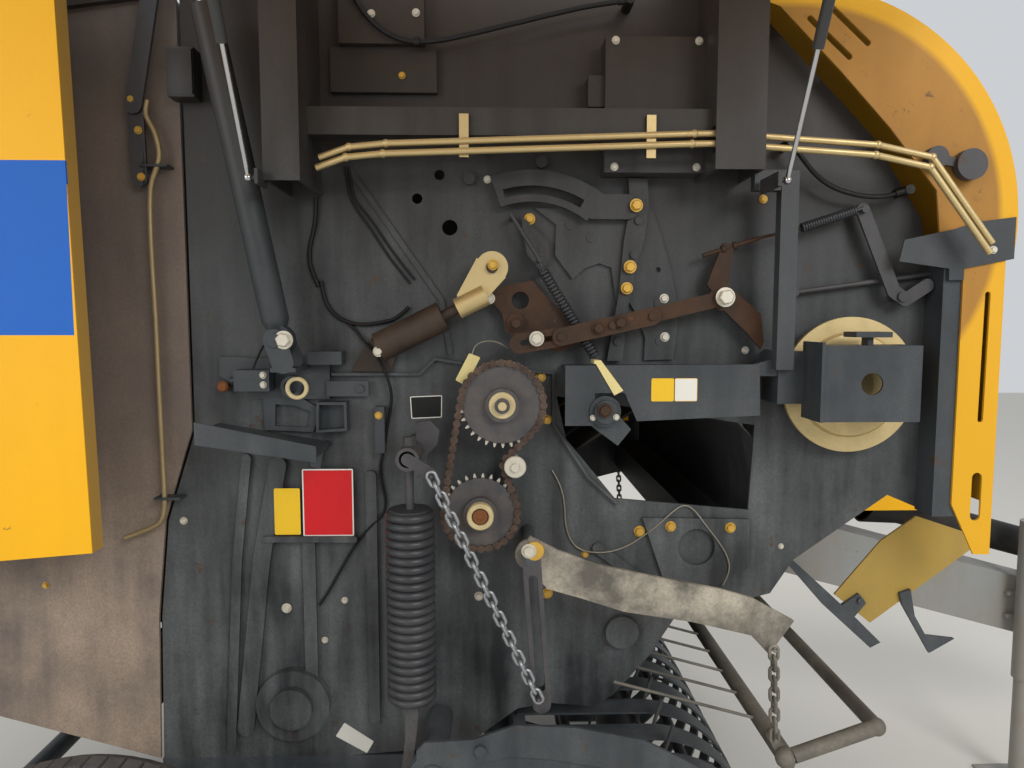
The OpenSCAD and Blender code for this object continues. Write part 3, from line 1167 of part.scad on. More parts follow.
module rim() {
  difference() {
    revolve_wheel() {
      polygon([[rim_r - 16, -half_tyre * 0.62], [rim_r, -half_tyre * 0.62], [rim_r, half_tyre * 0.62], [rim_r - 16, half_tyre * 0.62]]);
      polygon([[64, 10], [120, 24], [rim_r - 10, -20], [rim_r - 10, -30], [120, 12], [64, 0]]);
      polygon([[spindle_r + run, hub_in - track_half], [70, hub_in - track_half], [70, 60], [spindle_r + run, 60]]);
    }
    for (a = [0:60:359]) translate([0, track_half, axle_z]) rotate([0, a, 0]) translate([140, 100, 0]) rotate([90, 0, 0]) cylinder(r = 16, h = 200);
  }
}
module tyre_left() color("#232323") machine() tyre();
module tyre_right() color("#232323") machine() right() tyre();
module rim_left() color("#d8d4c4") machine() rim();
module rim_right() color("#d8d4c4") machine() right() rim();

chamber_walls();
main_frame();
axle_beam();
drawbar();
jack_sleeve();
door_posts();
front_shield();
floor_rollers();
chamber_belts();
gearbox();
pto_guard();
driveline_guard();
drive_sprockets();
drive_chain();
coil_springs();
float_chain();
spring_hanger();
sector_plates();
tension_links();
size_actuator();
actuator_bracket();
spring_clevis();
brake_bracket();
brake_disc();
hood_lever();
hydraulic_lines();
latch_hooks();
deflector_plate();
hold_down_lever();
bale_ramp();
hood_hose();
top_hose();
gate_walls();
gate_panels();
gate_panel_blocks();
gate_frame();
gate_rollers();
gate_belts();
latch_rods();
tail_lamps();
gate_barrels();
gate_rods();
door_right();
door_left();
strut_tubes_right();
strut_rods_right();
strut_tubes_left();
strut_rods_left();
pickup_frame();
pickup_bands();
pickup_reel();
wind_guard();
gauge_wheel_right();
gauge_wheel_left();
tyre_right();
rim_right();
tyre_left();
rim_left();
jack_leg();
driveline_shaft();
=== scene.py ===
# %% [markdown]
# # A round baler from its right side
# The machine is parked with its right door swung up, so the chain drive, the springs and the linkages on
# the chamber wall are in view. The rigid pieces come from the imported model. This notebook gives them their
# finishes, adds the bolts, plates, cables and other small pieces, and sets up the floor, the lights and the
# camera.
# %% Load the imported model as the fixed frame
from math import acos, atan2, cos, degrees, pi, radians, sin

import bmesh
import bpy
from mathutils import Matrix, Vector


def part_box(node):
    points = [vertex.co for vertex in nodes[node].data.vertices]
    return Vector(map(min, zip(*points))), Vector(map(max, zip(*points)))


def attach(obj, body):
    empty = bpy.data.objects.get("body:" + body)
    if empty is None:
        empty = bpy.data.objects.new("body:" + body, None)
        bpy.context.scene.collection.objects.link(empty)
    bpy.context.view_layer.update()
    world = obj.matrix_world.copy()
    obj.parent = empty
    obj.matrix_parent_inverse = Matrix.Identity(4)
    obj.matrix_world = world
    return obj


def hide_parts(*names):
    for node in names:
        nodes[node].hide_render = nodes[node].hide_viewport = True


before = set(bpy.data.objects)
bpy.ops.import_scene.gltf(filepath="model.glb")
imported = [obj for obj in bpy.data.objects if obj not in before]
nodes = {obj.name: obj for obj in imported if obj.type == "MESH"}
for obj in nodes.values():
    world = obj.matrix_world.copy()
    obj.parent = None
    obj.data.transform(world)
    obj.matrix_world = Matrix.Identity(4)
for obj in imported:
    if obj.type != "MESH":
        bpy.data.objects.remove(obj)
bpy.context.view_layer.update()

# %% [markdown]
# All places below are given from the middle of the axle on the ground, in metres: x forwards, y to the left
# and z up. That point follows from the boxes of the two tyres, so nothing has to be fitted by hand.
# %% Find the axle
tyre_low, tyre_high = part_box("tyre_right")
far_low, far_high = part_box("tyre_left")
AXLE = Vector(((tyre_low.x + tyre_high.x) / 2, (tyre_low.y + far_high.y) / 2, 0))
print("axle", AXLE)


def at(x, y, z):
    """A point given from the axle, as a point of the frame."""
    return AXLE + Vector((x, y, z))


# %% [markdown]
# The camera stands where the photograph was taken, about two and a half metres from the wall at eye height.
# Its focal length is in pixels of the 1024 pixel wide frame, which a 36 mm sensor turns into millimetres.
# %% Camera
FRAME_W = 1024
FOCAL_PX = 740
SENSOR = 36
CAMERA_AT = at(0.77, -2.55, 1.61)
TURN = radians(1.5)
TILT = radians(4.95)
camera_data = bpy.data.cameras.new("camera")
camera_data.sensor_width = SENSOR
camera_data.lens = FOCAL_PX / FRAME_W * SENSOR
camera = bpy.data.objects.new("camera", camera_data)
bpy.context.scene.collection.objects.link(camera)
look = Vector((sin(TURN) * cos(TILT), cos(TURN) * cos(TILT), -sin(TILT)))
camera.matrix_world = Matrix.Translation(CAMERA_AT) @ look.to_track_quat("-Z", "Y").to_matrix().to_4x4()
bpy.context.scene.camera = camera
print("lens", round(camera_data.lens, 2), "mm")

# %% [markdown]
# Colours are written as sRGB hex values, as they are read off a screen, and one function turns them to the
# linear values that the shader works in. One more function adds a node with its settings and links.
# %% Colour and node helpers


def rgb(code):
    """A linear colour from an sRGB hex value."""
    values = [int(code[i:i + 2], 16) / 255 for i in (1, 3, 5)]
    return tuple(v / 12.92 if v <= 0.04045 else ((v + 0.055) / 1.055) ** 2.4 for v in values) + (1,)


def add_node(tree, kind, settings=None, values=None, links=None):
    """Adds a node with its properties, the values of its sockets and the sockets that feed it."""
    made = tree.nodes.new(kind)
    for name, value in (settings or {}).items():
        setattr(made, name, value)
    for name, value in (values or {}).items():
        made.inputs[name].default_value = value
    for name, source in (links or {}).items():
        tree.links.new(source, made.inputs[name])
    return made


def new_material(name):
    """An empty material with its output and its shader."""
    material = bpy.data.materials.new(name)
    material.use_nodes = True
    tree = material.node_tree
    tree.nodes.clear()
    shader = add_node(tree, "ShaderNodeBsdfPrincipled")
    add_node(tree, "ShaderNodeOutputMaterial", links={"Surface": shader.outputs["BSDF"]})
    return material, tree, shader


def per_metre(size_mm):
    """The scale of a pattern whose features are this many millimetres apart."""
    return 1000 / size_mm


# %% [markdown]
# Nearly every surface of a baler is a coat of paint under dust from hay and soil. Dust settles in soft
# patches, lies thicker low down, and runs in streaks where rain has carried it. An image could carry it, but
# noise on Object coordinates needs no unwrapping. The width of a streak, of a chip and of the grit are the
# same everywhere. Real grit is finer than the six millimetres here, which is as fine as the picture can
# show.
# %% Dust on a surface
STREAK_MM = 45
STREAK_SQUEEZE = 0.12
CHIP_MM = 70
GRIT_MM = 6
DUSTY_ROUGHNESS = 0.92
RELIEF_DEPTH = 0.002


def dust_cover(tree, place, amount, low, high, patch_mm, streak):
    """How far dust hides the coat, thicker from height high down to low, and the grit in the dust."""
    patches = add_node(tree, "ShaderNodeTexNoise", links={"Vector": place},
                       values={"Scale": per_metre(patch_mm), "Detail": 9, "Roughness": 0.62})
    squeeze = add_node(tree, "ShaderNodeMapping", links={"Vector": place},
                       values={"Scale": (1, 1, STREAK_SQUEEZE)})
    runs = add_node(tree, "ShaderNodeTexNoise", links={"Vector": squeeze.outputs["Vector"]},
                    values={"Scale": per_metre(STREAK_MM), "Detail": 5})
    grit = add_node(tree, "ShaderNodeTexNoise", links={"Vector": place},
                    values={"Scale": per_metre(GRIT_MM), "Detail": 4})
    over_ground = add_node(tree, "ShaderNodeSeparateXYZ", links={"Vector": place}).outputs["Z"]
    settled = add_node(tree, "ShaderNodeMapRange", links={"Value": over_ground},
                       values={"From Min": high, "From Max": low, "To Min": 0.25, "To Max": 1})
    blend = add_node(tree, "ShaderNodeMix", settings={"data_type": "FLOAT"}, values={"Factor": streak},
                     links={"A": patches.outputs["Fac"], "B": runs.outputs["Fac"]})
    spread = add_node(tree, "ShaderNodeMapRange", links={"Value": blend.outputs["Result"]},
                      values={"From Min": 0.40, "From Max": 0.68})
    cover = add_node(tree, "ShaderNodeMath", settings={"operation": "MULTIPLY"},
                     links={0: spread.outputs["Result"], 1: settled.outputs["Result"]})
    cover = add_node(tree, "ShaderNodeMath", settings={"operation": "MULTIPLY_ADD", "use_clamp": True},
                     values={1: amount * 1.4, 2: amount * 0.12}, links={0: cover.outputs["Value"]})
    speck = add_node(tree, "ShaderNodeMapRange", links={"Value": grit.outputs["Fac"]},
                     values={"From Min": 0.35, "From Max": 0.75, "To Min": 0.75, "To Max": 1.15})
    cover = add_node(tree, "ShaderNodeMath", settings={"operation": "MULTIPLY", "use_clamp": True},
                     links={0: cover.outputs["Value"], 1: speck.outputs["Result"]})
    return cover.outputs["Value"], grit.outputs["Fac"]


# %% [markdown]
# Chips and rust spots break through the coat where it is worn. The whole finish is then the coat, the dust
# over it, the chips, and a shader that is duller and less metallic where dust lies.
# %% Weathered coat


def chipped(tree, place, colour, chips, chip):
    """A colour with worn spots of another colour in it."""
    worn = add_node(tree, "ShaderNodeTexNoise", links={"Vector": place},
                    values={"Scale": per_metre(CHIP_MM), "Detail": 12, "Roughness": 0.75})
    spots = add_node(tree, "ShaderNodeMapRange", links={"Value": worn.outputs["Fac"]},
                     values={"From Min": 0.66 - chips * 0.12, "From Max": 0.70 - chips * 0.1})
    return add_node(tree, "ShaderNodeMix", settings={"data_type": "RGBA"}, values={"B": rgb(chip)},
                    links={"Factor": spots.outputs["Result"], "A": colour}).outputs[2]


def weathered(name, coat, dust, amount=0.5, low=0.3, high=2.2, rough=0.45, metal=0.0, patch_mm=260,
              streak=0.35, chips=0.0, chip="#6b4a30", grain=0.12, gloss=0.5):
    """Paint, metal, rubber or plastic under dust."""
    material, tree, shader = new_material(name)
    place = add_node(tree, "ShaderNodeTexCoord").outputs["Object"]
    cover, grit = dust_cover(tree, place, amount, low, high, patch_mm, streak)
    colour = add_node(tree, "ShaderNodeMix", settings={"data_type": "RGBA"}, links={"Factor": cover},
                      values={"A": rgb(coat), "B": rgb(dust)}).outputs[2]
    if chips:
        colour = chipped(tree, place, colour, chips, chip)
    tree.links.new(colour, shader.inputs["Base Color"])
    dull = add_node(tree, "ShaderNodeMapRange", links={"Value": cover},
                    values={"To Min": rough, "To Max": DUSTY_ROUGHNESS})
    tree.links.new(dull.outputs["Result"], shader.inputs["Roughness"])
    if metal:
        bare = add_node(tree, "ShaderNodeMapRange", links={"Value": cover},
                        values={"To Min": metal, "To Max": metal * 0.25})
        tree.links.new(bare.outputs["Result"], shader.inputs["Metallic"])
    shader.inputs["Specular IOR Level"].default_value = gloss
    relief = add_node(tree, "ShaderNodeBump", links={"Height": grit},
                      values={"Strength": grain, "Distance": RELIEF_DEPTH})
    tree.links.new(relief.outputs["Normal"], shader.inputs["Normal"])
    return material


# %% [markdown]
# The finishes, each named for what the real one is and for any painted light in it. First the paints: the
# frame is black satin enamel, which shows the sky softly where it is clean and turns flat under dust. The
# outer sheets are polyester powder coat, even and half glossy, and the hood is brownish yellow inside its
# rim.
# %% Paints
black_enamel = weathered("black_satin_enamel", "#2e3337", "#66696b", amount=0.45, rough=0.42, chips=0.3,
                         chip="#4a3a2c", gloss=0.35)
wall_enamel = weathered("black_enamel_with_oily_dust", "#232426", "#686c6c", amount=0.62, low=0.9,
                        high=2.15, rough=0.42, streak=0.5, chips=0.35, chip="#4a3524", gloss=0.35)
arm_enamel = weathered("black_enamel_under_grey_dust", "#4a4741", "#b0a898", amount=0.8, low=1.0, high=0.78,
                       rough=0.5, patch_mm=120, streak=0.15, gloss=0.35)
# The gate walls are black enamel; their pale tan is partly dust and partly painted sunlight.
gate_enamel = weathered("black_enamel_under_tan_dust_and_painted_sunlight", "#544c4b", "#a4927f", amount=0.85, low=0.95,
                        high=1.35, rough=0.6, patch_mm=520, streak=0.2, gloss=0.3)
yellow_coat, panel_coat = [
    weathered(name, "#f2b200", "#b0883c", amount=0.14, rough=0.45, chips=0.05, gloss=0.3)
    for name in ("yellow_powder_coat", "yellow_powder_coat_of_gate")]
# The deflector plate takes the yellow coat darkened, partly by dust and partly by painted shade.
dusty_and_shaded_coat = weathered("yellow_powder_coat_dusty_and_painted_shade", "#a88a3c", "#8a7650", amount=0.5, rough=0.55, chips=0.1,
                       gloss=0.3)
hood_coat = weathered("yellow_powder_coat_brown_inside_rim", "#a9782a", "#80603f", amount=0.6, low=1.0, high=2.6,
                      rough=0.5, chips=0.4, chip="#6b4a30", gloss=0.3)
blue_coat = weathered("blue_powder_coat", "#1e62bd", "#5c7490", amount=0.1, rough=0.55, gloss=0.25)
# The drawbar is black paint under dust; the pale grey it shares with the jack is partly that dust and partly
# painted sunlight.
grey_of_dust_and_sunlight = weathered("black_paint_under_dust_and_painted_sunlight", "#8f9290", "#8a7458", amount=0.45, rough=0.45, chips=0.2)
rim_paint = weathered("cream_wheel_paint", "#d9cfae", "#8c7454", amount=0.5, low=0, high=0.9, rough=0.45)
hub_coat = weathered("cream_hub_coating", "#c9b98c", "#8a6f48", amount=0.45, rough=0.5, patch_mm=30)
strut_paint = weathered("grey_strut_paint", "#3a3d3f", "#5d5548", amount=0.3, rough=0.4, metal=0.2, gloss=0.3)
spring_coat = weathered("black_spring_coating", "#292b30", "#68655f", amount=0.25, rough=0.35, gloss=0.4)
print("paints made:", len(bpy.data.materials))

# %% [markdown]
# Then the metals. Oiled steel is dark and a little shiny, rust is flat and brown, and zinc plate is a pale
# grey metal that a yellow passivation tints. The rods are hard chromed, so they alone are nearly mirrors.
# %% Metals
worn_steel = weathered("crop_polished_steel", "#5a554e", "#4f4232", amount=0.5, rough=0.4, metal=0.6)
oiled_steel = weathered("oiled_dark_steel", "#3a3a3d", "#6f6b68", amount=0.5, rough=0.45, metal=0.2,
                        chips=0.4, chip="#4a3524", gloss=0.3)
sprocket_steel = weathered("oiled_sprocket_steel", "#3c3d42", "#75695c", amount=0.5, rough=0.4, metal=0.2,
                           patch_mm=50)
rusty_steel = weathered("light_rust_on_steel", "#33271d", "#6a4630", amount=0.55, low=-2, high=4,
                        rough=0.62, metal=0.15, patch_mm=60, streak=0.1, chips=0.4, chip="#5e3a22",
                        gloss=0.3)
chain_steel = weathered("oiled_chain_steel", "#40342d", "#80695a", amount=0.5, low=-2, high=4, rough=0.5,
                        metal=0.4, patch_mm=40, streak=0.1, chips=0.3, chip="#4a3020", gloss=0.35)
rust_film = weathered("thin_brown_rust", "#6f4428", "#8a5a36", amount=0.5, rough=0.8, patch_mm=20, gloss=0.25)
brown_casting = weathered("oiled_brown_casting", "#2c231d", "#5d4b3a", amount=0.5, rough=0.5, patch_mm=60,
                          gloss=0.35)
bright_zinc = weathered("bright_zinc_plate", "#9a9ea2", "#7d766a", amount=0.35, rough=0.35, metal=0.85,
                        patch_mm=40)
yellow_zinc, pipe_zinc = [
    weathered(name, "#c9b483", "#8a7650", amount=0.4, rough=0.38, metal=0.75, patch_mm=50)
    for name in ("yellow_passivated_zinc", "yellow_passivated_pipe")]
pale_zinc = weathered("pale_yellow_steel_tag", "#d8c98a", "#9b8a5c", amount=0.25, rough=0.5, patch_mm=40)
tube_brass = weathered("dull_passivated_tube", "#a3906a", "#6e5a3e", amount=0.45, rough=0.42, metal=0.5,
                       patch_mm=60)
bolt_zinc = weathered("zinc_plated_bolt", "#cfcabb", "#8b7d63", amount=0.3, rough=0.38, metal=0.5,
                      patch_mm=25)
bolt_gold = weathered("yellow_passivated_bolt", "#cfa548", "#7d6236", amount=0.35, rough=0.38, metal=0.5,
                      patch_mm=25)
polished_rod = weathered("hard_chromed_rod", "#b9bcc0", "#8c8478", amount=0.15, rough=0.15, metal=1.0)
wire_grey = weathered("bare_wire_rope", "#8c877a", "#6f6554", amount=0.4, rough=0.4, metal=0.6, patch_mm=30)
print("with the metals:", len(bpy.data.materials))

# %% [markdown]
# Last the rubber, the plastics and the vinyl films of the stickers, none of them metallic. Rubber has a low
# gloss that dust takes away, and the films stay clean.
# %% Rubber, plastic and film
guard_plastic = weathered("black_polyethylene", "#131415", "#4a433a", amount=0.45, rough=0.5, gloss=0.3)
belt_rubber = weathered("ribbed_belt_rubber", "#121110", "#41372b", amount=0.6, rough=0.75, patch_mm=120,
                        gloss=0.25)
hose_rubber = weathered("black_hose_rubber", "#101112", "#3a3027", amount=0.3, rough=0.5, patch_mm=90,
                        gloss=0.35)
cable_black = weathered("black_cable_sleeve", "#0b0b0c", "#2c2620", amount=0.25, rough=0.5, patch_mm=60,
                        gloss=0.3)
tyre_rubber = weathered("tyre_rubber", "#3d3d40", "#8d8880", amount=0.6, low=-0.2, high=1.0, rough=0.7,
                        patch_mm=120, gloss=0.3)
red_film = weathered("red_vinyl_film", "#c8141d", "#7a4a3a", amount=0.1, rough=0.45, gloss=0.3)
white_film = weathered("white_vinyl_film", "#dcdad2", "#8f8676", amount=0.15, rough=0.4)
yellow_film = weathered("yellow_vinyl_film", "#e6b908", "#8f7a3c", amount=0.15, rough=0.4)
black_film = weathered("black_vinyl_film", "#0d0e0e", "#3c362e", amount=0.15, rough=0.4, gloss=0.3)
lamp_lens = weathered("red_lamp_lens", "#a8150f", "#6b4a3a", amount=0.2, rough=0.15)
print("with rubber, plastic and film:", len(bpy.data.materials))

# %% [markdown]
# Some finishes change over one piece, so a second coat is mixed in by place. A measure says how far a point
# lies from the middle plane, over the ground, or from an axis across the machine.
# %% Measures of place


def depth(tree, place):
    """The distance from the middle plane of the machine."""
    across = add_node(tree, "ShaderNodeSeparateXYZ", links={"Vector": place}).outputs["Y"]
    shifted = add_node(tree, "ShaderNodeMath", settings={"operation": "SUBTRACT"}, values={1: AXLE.y},
                       links={0: across})
    return add_node(tree, "ShaderNodeMath", settings={"operation": "ABSOLUTE"},
                    links={0: shifted.outputs["Value"]}).outputs["Value"]


def height(tree, place):
    """The height over the ground."""
    return add_node(tree, "ShaderNodeSeparateXYZ", links={"Vector": place}).outputs["Z"]


def from_axis(tree, place, x, z):
    """The distance from an axis that lies across the machine, given in metres from the axle."""
    flat = add_node(tree, "ShaderNodeVectorMath", settings={"operation": "MULTIPLY"}, values={1: (1, 0, 1)},
                    links={0: place})
    axis = at(x, 0, z)
    far = add_node(tree, "ShaderNodeVectorMath", settings={"operation": "DISTANCE"},
                   values={1: (axis.x, 0, axis.z)}, links={0: flat.outputs["Vector"]})
    return far.outputs["Value"]


# %% [markdown]
# The teeth of the sprockets are polished by the chain. The measure for them is the distance from the nearer
# sprocket axis, as a share of that sprocket's pitch radius. The chain further down runs on the same two
# circles and an idler. The rim of the hood is found by its distance from the axis of its curve.
# %% Sprockets and hood, seen from their axes
UP, UP_R = (791, 1420), 94.0
LOW, LOW_R = (741.5, 1172.3), 84.9
IDLER, IDLER_R = (820, 1280), 27.0
HOOD_AXIS = (1.45, 1.83)


def from_hood_axis(tree, place):
    """The distance from the axis of the round hood."""
    return from_axis(tree, place, *HOOD_AXIS)


def from_sprocket_axes(tree, place):
    """The distance from the nearer sprocket axis, in pitch radii."""
    spans = []
    for (x, z), pitch_radius in ((UP, UP_R), (LOW, LOW_R)):
        far = from_axis(tree, place, x / 1000, z / 1000)
        share = add_node(tree, "ShaderNodeMath", settings={"operation": "DIVIDE"}, links={0: far},
                         values={1: pitch_radius / 1000})
        spans.append(share.outputs["Value"])
    nearer = add_node(tree, "ShaderNodeMath", settings={"operation": "MINIMUM"},
                      links={0: spans[0], 1: spans[1]})
    return nearer.outputs["Value"]


# %% [markdown]
# The edge of the gate panel behind its face has gone tan with dust, the clamps behind the pipes are black,
# and the hood is yellow only along its rim. The frame and the wall turn to oily brown towards the top,
# under the hood.
# %% A second coat on part of a piece


def second_coat(material, measure, start, end, coat):
    """Mixes a second colour over a finish, from none at one value of a measure to full at another."""
    tree = material.node_tree
    shader = next(n for n in tree.nodes if n.type == "BSDF_PRINCIPLED")
    under = shader.inputs["Base Color"].links[0].from_socket
    place = add_node(tree, "ShaderNodeTexCoord").outputs["Object"]
    share = add_node(tree, "ShaderNodeMapRange", values={"From Min": start, "From Max": end},
                     links={"Value": measure(tree, place)})
    mixed = add_node(tree, "ShaderNodeMix", settings={"data_type": "RGBA"}, values={"B": rgb(coat)},
                     links={"Factor": share.outputs["Result"], "A": under})
    tree.links.new(mixed.outputs[2], shader.inputs["Base Color"])


TOOTH_EDGE = 0.945
second_coat(sprocket_steel, from_sprocket_axes, TOOTH_EDGE, 0.975, "#b5b0a2")
second_coat(panel_coat, depth, 1.0178, 1.0170, "#b8924a")
second_coat(pipe_zinc, depth, 0.9372, 0.9368, "#2c2b28")
second_coat(wall_enamel, height, 1.7, 2.5, "#33271d")
second_coat(black_enamel, height, 1.7, 2.6, "#33271d")
second_coat(hood_coat, from_hood_axis, 0.462, 0.478, "#d9a21e")
print("bright teeth from", TOOTH_EDGE * UP_R, "mm of the upper axis")

# %% [markdown]
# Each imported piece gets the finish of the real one. The table names every one of the sixty pieces once.
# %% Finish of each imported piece
FINISH = {
    wall_enamel: ["chamber_walls", "door_posts", "sector_plates"],
    black_enamel: ["main_frame", "axle_beam", "gearbox", "brake_bracket", "latch_hooks", "hold_down_lever",
                   "bale_ramp", "gate_frame", "gate_barrels", "pickup_frame", "pickup_bands"],
    gate_enamel: ["gate_walls"],
    yellow_coat: ["door_right", "door_left", "pto_guard"],
    panel_coat: ["gate_panels"],
    dusty_and_shaded_coat: ["deflector_plate"],
    hood_coat: ["front_shield"],
    blue_coat: ["gate_panel_blocks"],
    grey_of_dust_and_sunlight: ["drawbar", "jack_sleeve", "jack_leg"],
    worn_steel: ["floor_rollers", "gate_rollers", "driveline_shaft"],
    arm_enamel: ["wind_guard"],
    oiled_steel: ["spring_hanger", "pickup_reel", "hood_lever"],
    sprocket_steel: ["drive_sprockets"],
    spring_coat: ["coil_springs"],
    rusty_steel: ["tension_links"],
    chain_steel: ["drive_chain"],
    bright_zinc: ["float_chain", "latch_rods"],
    yellow_zinc: ["brake_disc", "actuator_bracket"],
    pipe_zinc: ["hydraulic_lines"],
    brown_casting: ["size_actuator"],
    pale_zinc: ["spring_clevis"],
    polished_rod: ["gate_rods", "strut_rods_right", "strut_rods_left"],
    strut_paint: ["strut_tubes_right", "strut_tubes_left"],
    guard_plastic: ["driveline_guard"],
    belt_rubber: ["chamber_belts", "gate_belts"],
    hose_rubber: ["hood_hose", "top_hose"],
    tyre_rubber: ["tyre_right", "tyre_left", "gauge_wheel_right", "gauge_wheel_left"],
    rim_paint: ["rim_right", "rim_left"],
    lamp_lens: ["tail_lamps"],
}
for finish, names in FINISH.items():
    for name in names:
        nodes[name].data.materials.clear()
        nodes[name].data.materials.append(finish)
left = sorted(set(nodes) - {n for names in FINISH.values() for n in names})
print(len(FINISH), "finishes; nodes without one:", left)

# %% [markdown]
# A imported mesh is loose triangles, so a round roller would look cut into flats. A small node group joins
# the points that meet and shades every edge soft, apart from those that turn by more than thirty degrees.
# The stored mesh stays as it is, because the group works as a modifier.
# %% Soft shading on round pieces
SHARP = radians(30)
JOIN_GAP = 0.00001
soft = bpy.data.node_groups.new("soft_round_faces", "GeometryNodeTree")
soft.interface.new_socket("Geometry", in_out="INPUT", socket_type="NodeSocketGeometry")
soft.interface.new_socket("Geometry", in_out="OUTPUT", socket_type="NodeSocketGeometry")
given = add_node(soft, "NodeGroupInput")
joined = add_node(soft, "GeometryNodeMergeByDistance", values={"Distance": JOIN_GAP},
                  links={"Geometry": given.outputs["Geometry"]})
bend = add_node(soft, "GeometryNodeInputMeshEdgeAngle")
crease = add_node(soft, "FunctionNodeCompare", settings={"operation": "GREATER_THAN"}, values={"B": SHARP},
                  links={"A": bend.outputs["Unsigned Angle"]})
smooth = add_node(soft, "GeometryNodeSetShadeSmooth", values={"Shade Smooth": True},
                  links={"Geometry": joined.outputs["Geometry"]})
edged = add_node(soft, "GeometryNodeSetShadeSmooth", settings={"domain": "EDGE"},
                 values={"Shade Smooth": False},
                 links={"Geometry": smooth.outputs["Geometry"], "Selection": crease.outputs["Result"]})
add_node(soft, "NodeGroupOutput", links={"Geometry": edged.outputs["Geometry"]})
for node in nodes.values():
    node.modifiers.new("soft_round_faces", "NODES").node_group = soft
print("soft shading on", len(nodes), "nodes")

# %% [markdown]
# Hoses, cables and bent tubes are curves with a round bevel, because a curve keeps its even thickness on
# every bend.
# %% A round bar along points


def along(points, radius, name, finish, smooth=4):
    """A round bar, hose or wire along points in millimetres from the axle."""
    data = bpy.data.curves.new(name, "CURVE")
    data.dimensions = "3D"
    data.bevel_depth = radius
    data.bevel_resolution = 3
    data.resolution_u = smooth
    data.use_fill_caps = True
    spline = data.splines.new("NURBS")
    spline.points.add(len(points) - 1)
    for spot, (x, y, z) in zip(spline.points, points):
        spot.co = (*at(x / 1000, y / 1000, z / 1000), 1)
    spline.order_u = 3
    spline.use_endpoint_u = True
    data.materials.append(finish)
    made = bpy.data.objects.new(name, data)
    bpy.context.scene.collection.objects.link(made)
    return made


# %% [markdown]
# Two rubber hoses hang free: one loops from the wall to the hood, and one runs in front of the wall from
# the rear plate to the front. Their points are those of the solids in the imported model, in millimetres from
# the axle.
# %% Free hoses
HOSE_Y = -851
HOSE_R = 0.0055
HOOD_HOSE = [(1462, 1990), (1470, 1980), (1482, 1965), (1495, 1950), (1509, 1936), (1525, 1924), (1543, 1913),
             (1562, 1905), (1582, 1899), (1603, 1894), (1624, 1891), (1645, 1890), (1664, 1891), (1680, 1894),
             (1690, 1897)]
TOP_HOSE = [(460, 2334), (468, 2316), (478, 2298), (490, 2281), (504, 2266), (520, 2252), (538, 2240),
            (558, 2231), (578, 2224), (597, 2222), (611, 2222), (634, 2223), (658, 2226), (684, 2231),
            (710, 2237), (736, 2243), (762, 2249), (788, 2256), (814, 2262), (840, 2268), (866, 2275),
            (892, 2281), (918, 2287), (944, 2293), (970, 2299), (998, 2304), (1024, 2308), (1050, 2312)]
for name, route in (("hood_hose", HOOD_HOSE), ("top_hose", TOP_HOSE)):
    points = [(x, HOSE_Y, z) for x, z in route]
    made = along(points, HOSE_R, name + "_rubber", hose_rubber)
    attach(made, "chassis")
    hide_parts(name)

# %% [markdown]
# Every other piece below starts as a bmesh, the mesh that Blender's own operators work on. One function
# closes it: it makes the object, shades it like the imported pieces, and says which finish and body it
# has.
# %% From a finished bmesh to a piece


def piece(name, mesh, finish, body):
    """An object from a finished bmesh, with its finish and the body it rides on."""
    data = bpy.data.meshes.new(name)
    mesh.to_mesh(data)
    mesh.free()
    data.polygons.foreach_set("use_smooth", [True] * len(data.polygons))
    data.set_sharp_from_angle(angle=SHARP)
    data.materials.append(finish)
    made = bpy.data.objects.new(name, data)
    bpy.context.scene.collection.objects.link(made)
    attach(made, body)
    return made


# %% [markdown]
# Bolts and nuts hold every plate on the wall. One hexagonal head with its washer is modelled once, for a
# washer of radius one, with a small chamfer on top of the head.
# %% One bolt head
bolt = bmesh.new()
bmesh.ops.create_cone(bolt, cap_ends=True, segments=20, radius1=1.0, radius2=1.0, depth=0.22)
bmesh.ops.translate(bolt, verts=bolt.verts, vec=(0, 0, 0.11))
head = bmesh.ops.create_cone(bolt, cap_ends=True, segments=6, radius1=0.78, radius2=0.78, depth=0.62)["verts"]
bmesh.ops.translate(bolt, verts=head, vec=(0, 0, 0.53))
top = [e for e in bolt.edges if all(v.co.z > 0.8 for v in e.verts)]
bmesh.ops.bevel(bolt, geom=top, offset=0.1, segments=1, profile=0.5, affect="EDGES", material=-1)
bolt_mesh = bpy.data.meshes.new("bolt")
bolt.to_mesh(bolt_mesh)
bolt.free()
print("faces of a bolt head:", len(bolt_mesh.polygons))

# %% [markdown]
# The head is placed again and again from tables, each turned further than the last, because real ones stop
# at any angle. The fresher ones are bright zinc, the older ones have a yellow passivation, and the ones on
# rusty links have gone brown. A row gives x, the distance to the right, z and the radius of the washer, in
# millimetres.
# %% Bolts on the wall
BOLT_TURN = 37
ZINC_BOLTS = [(503, 840, 2285, 9), (602, 840, 2288, 9), (1043, 866, 2224, 9), (1043, 866, 1951, 9),
              (1228, 866, 1951, 9), (1228, 866, 2224, 9), (759, 800, 1934, 9), (321, 942, 1567, 20),
              (249, 860, 1485, 8), (249, 860, 1463, 8), (763, 838, 1659, 13), (869, 886, 1568, 17),
              (1173, 810, 1660, 11), (1176, 810, 1570, 11), (1294, 884, 1661, 22), (735, 800, 941, 11),
              (271, 800, 916, 12), (33, 800, 1133, 9), (1473, 800, 1059, 7), (995, 906, 1391, 7),
              (1045, 920, 1394, 7), (411, 800, 934, 8), (361, 800, 835, 8), (1904, 882, 1768, 9),
              (1372, 800, 1538, 9), (516, 896, 1540, 12), (846, 1015, 1121, 16)]
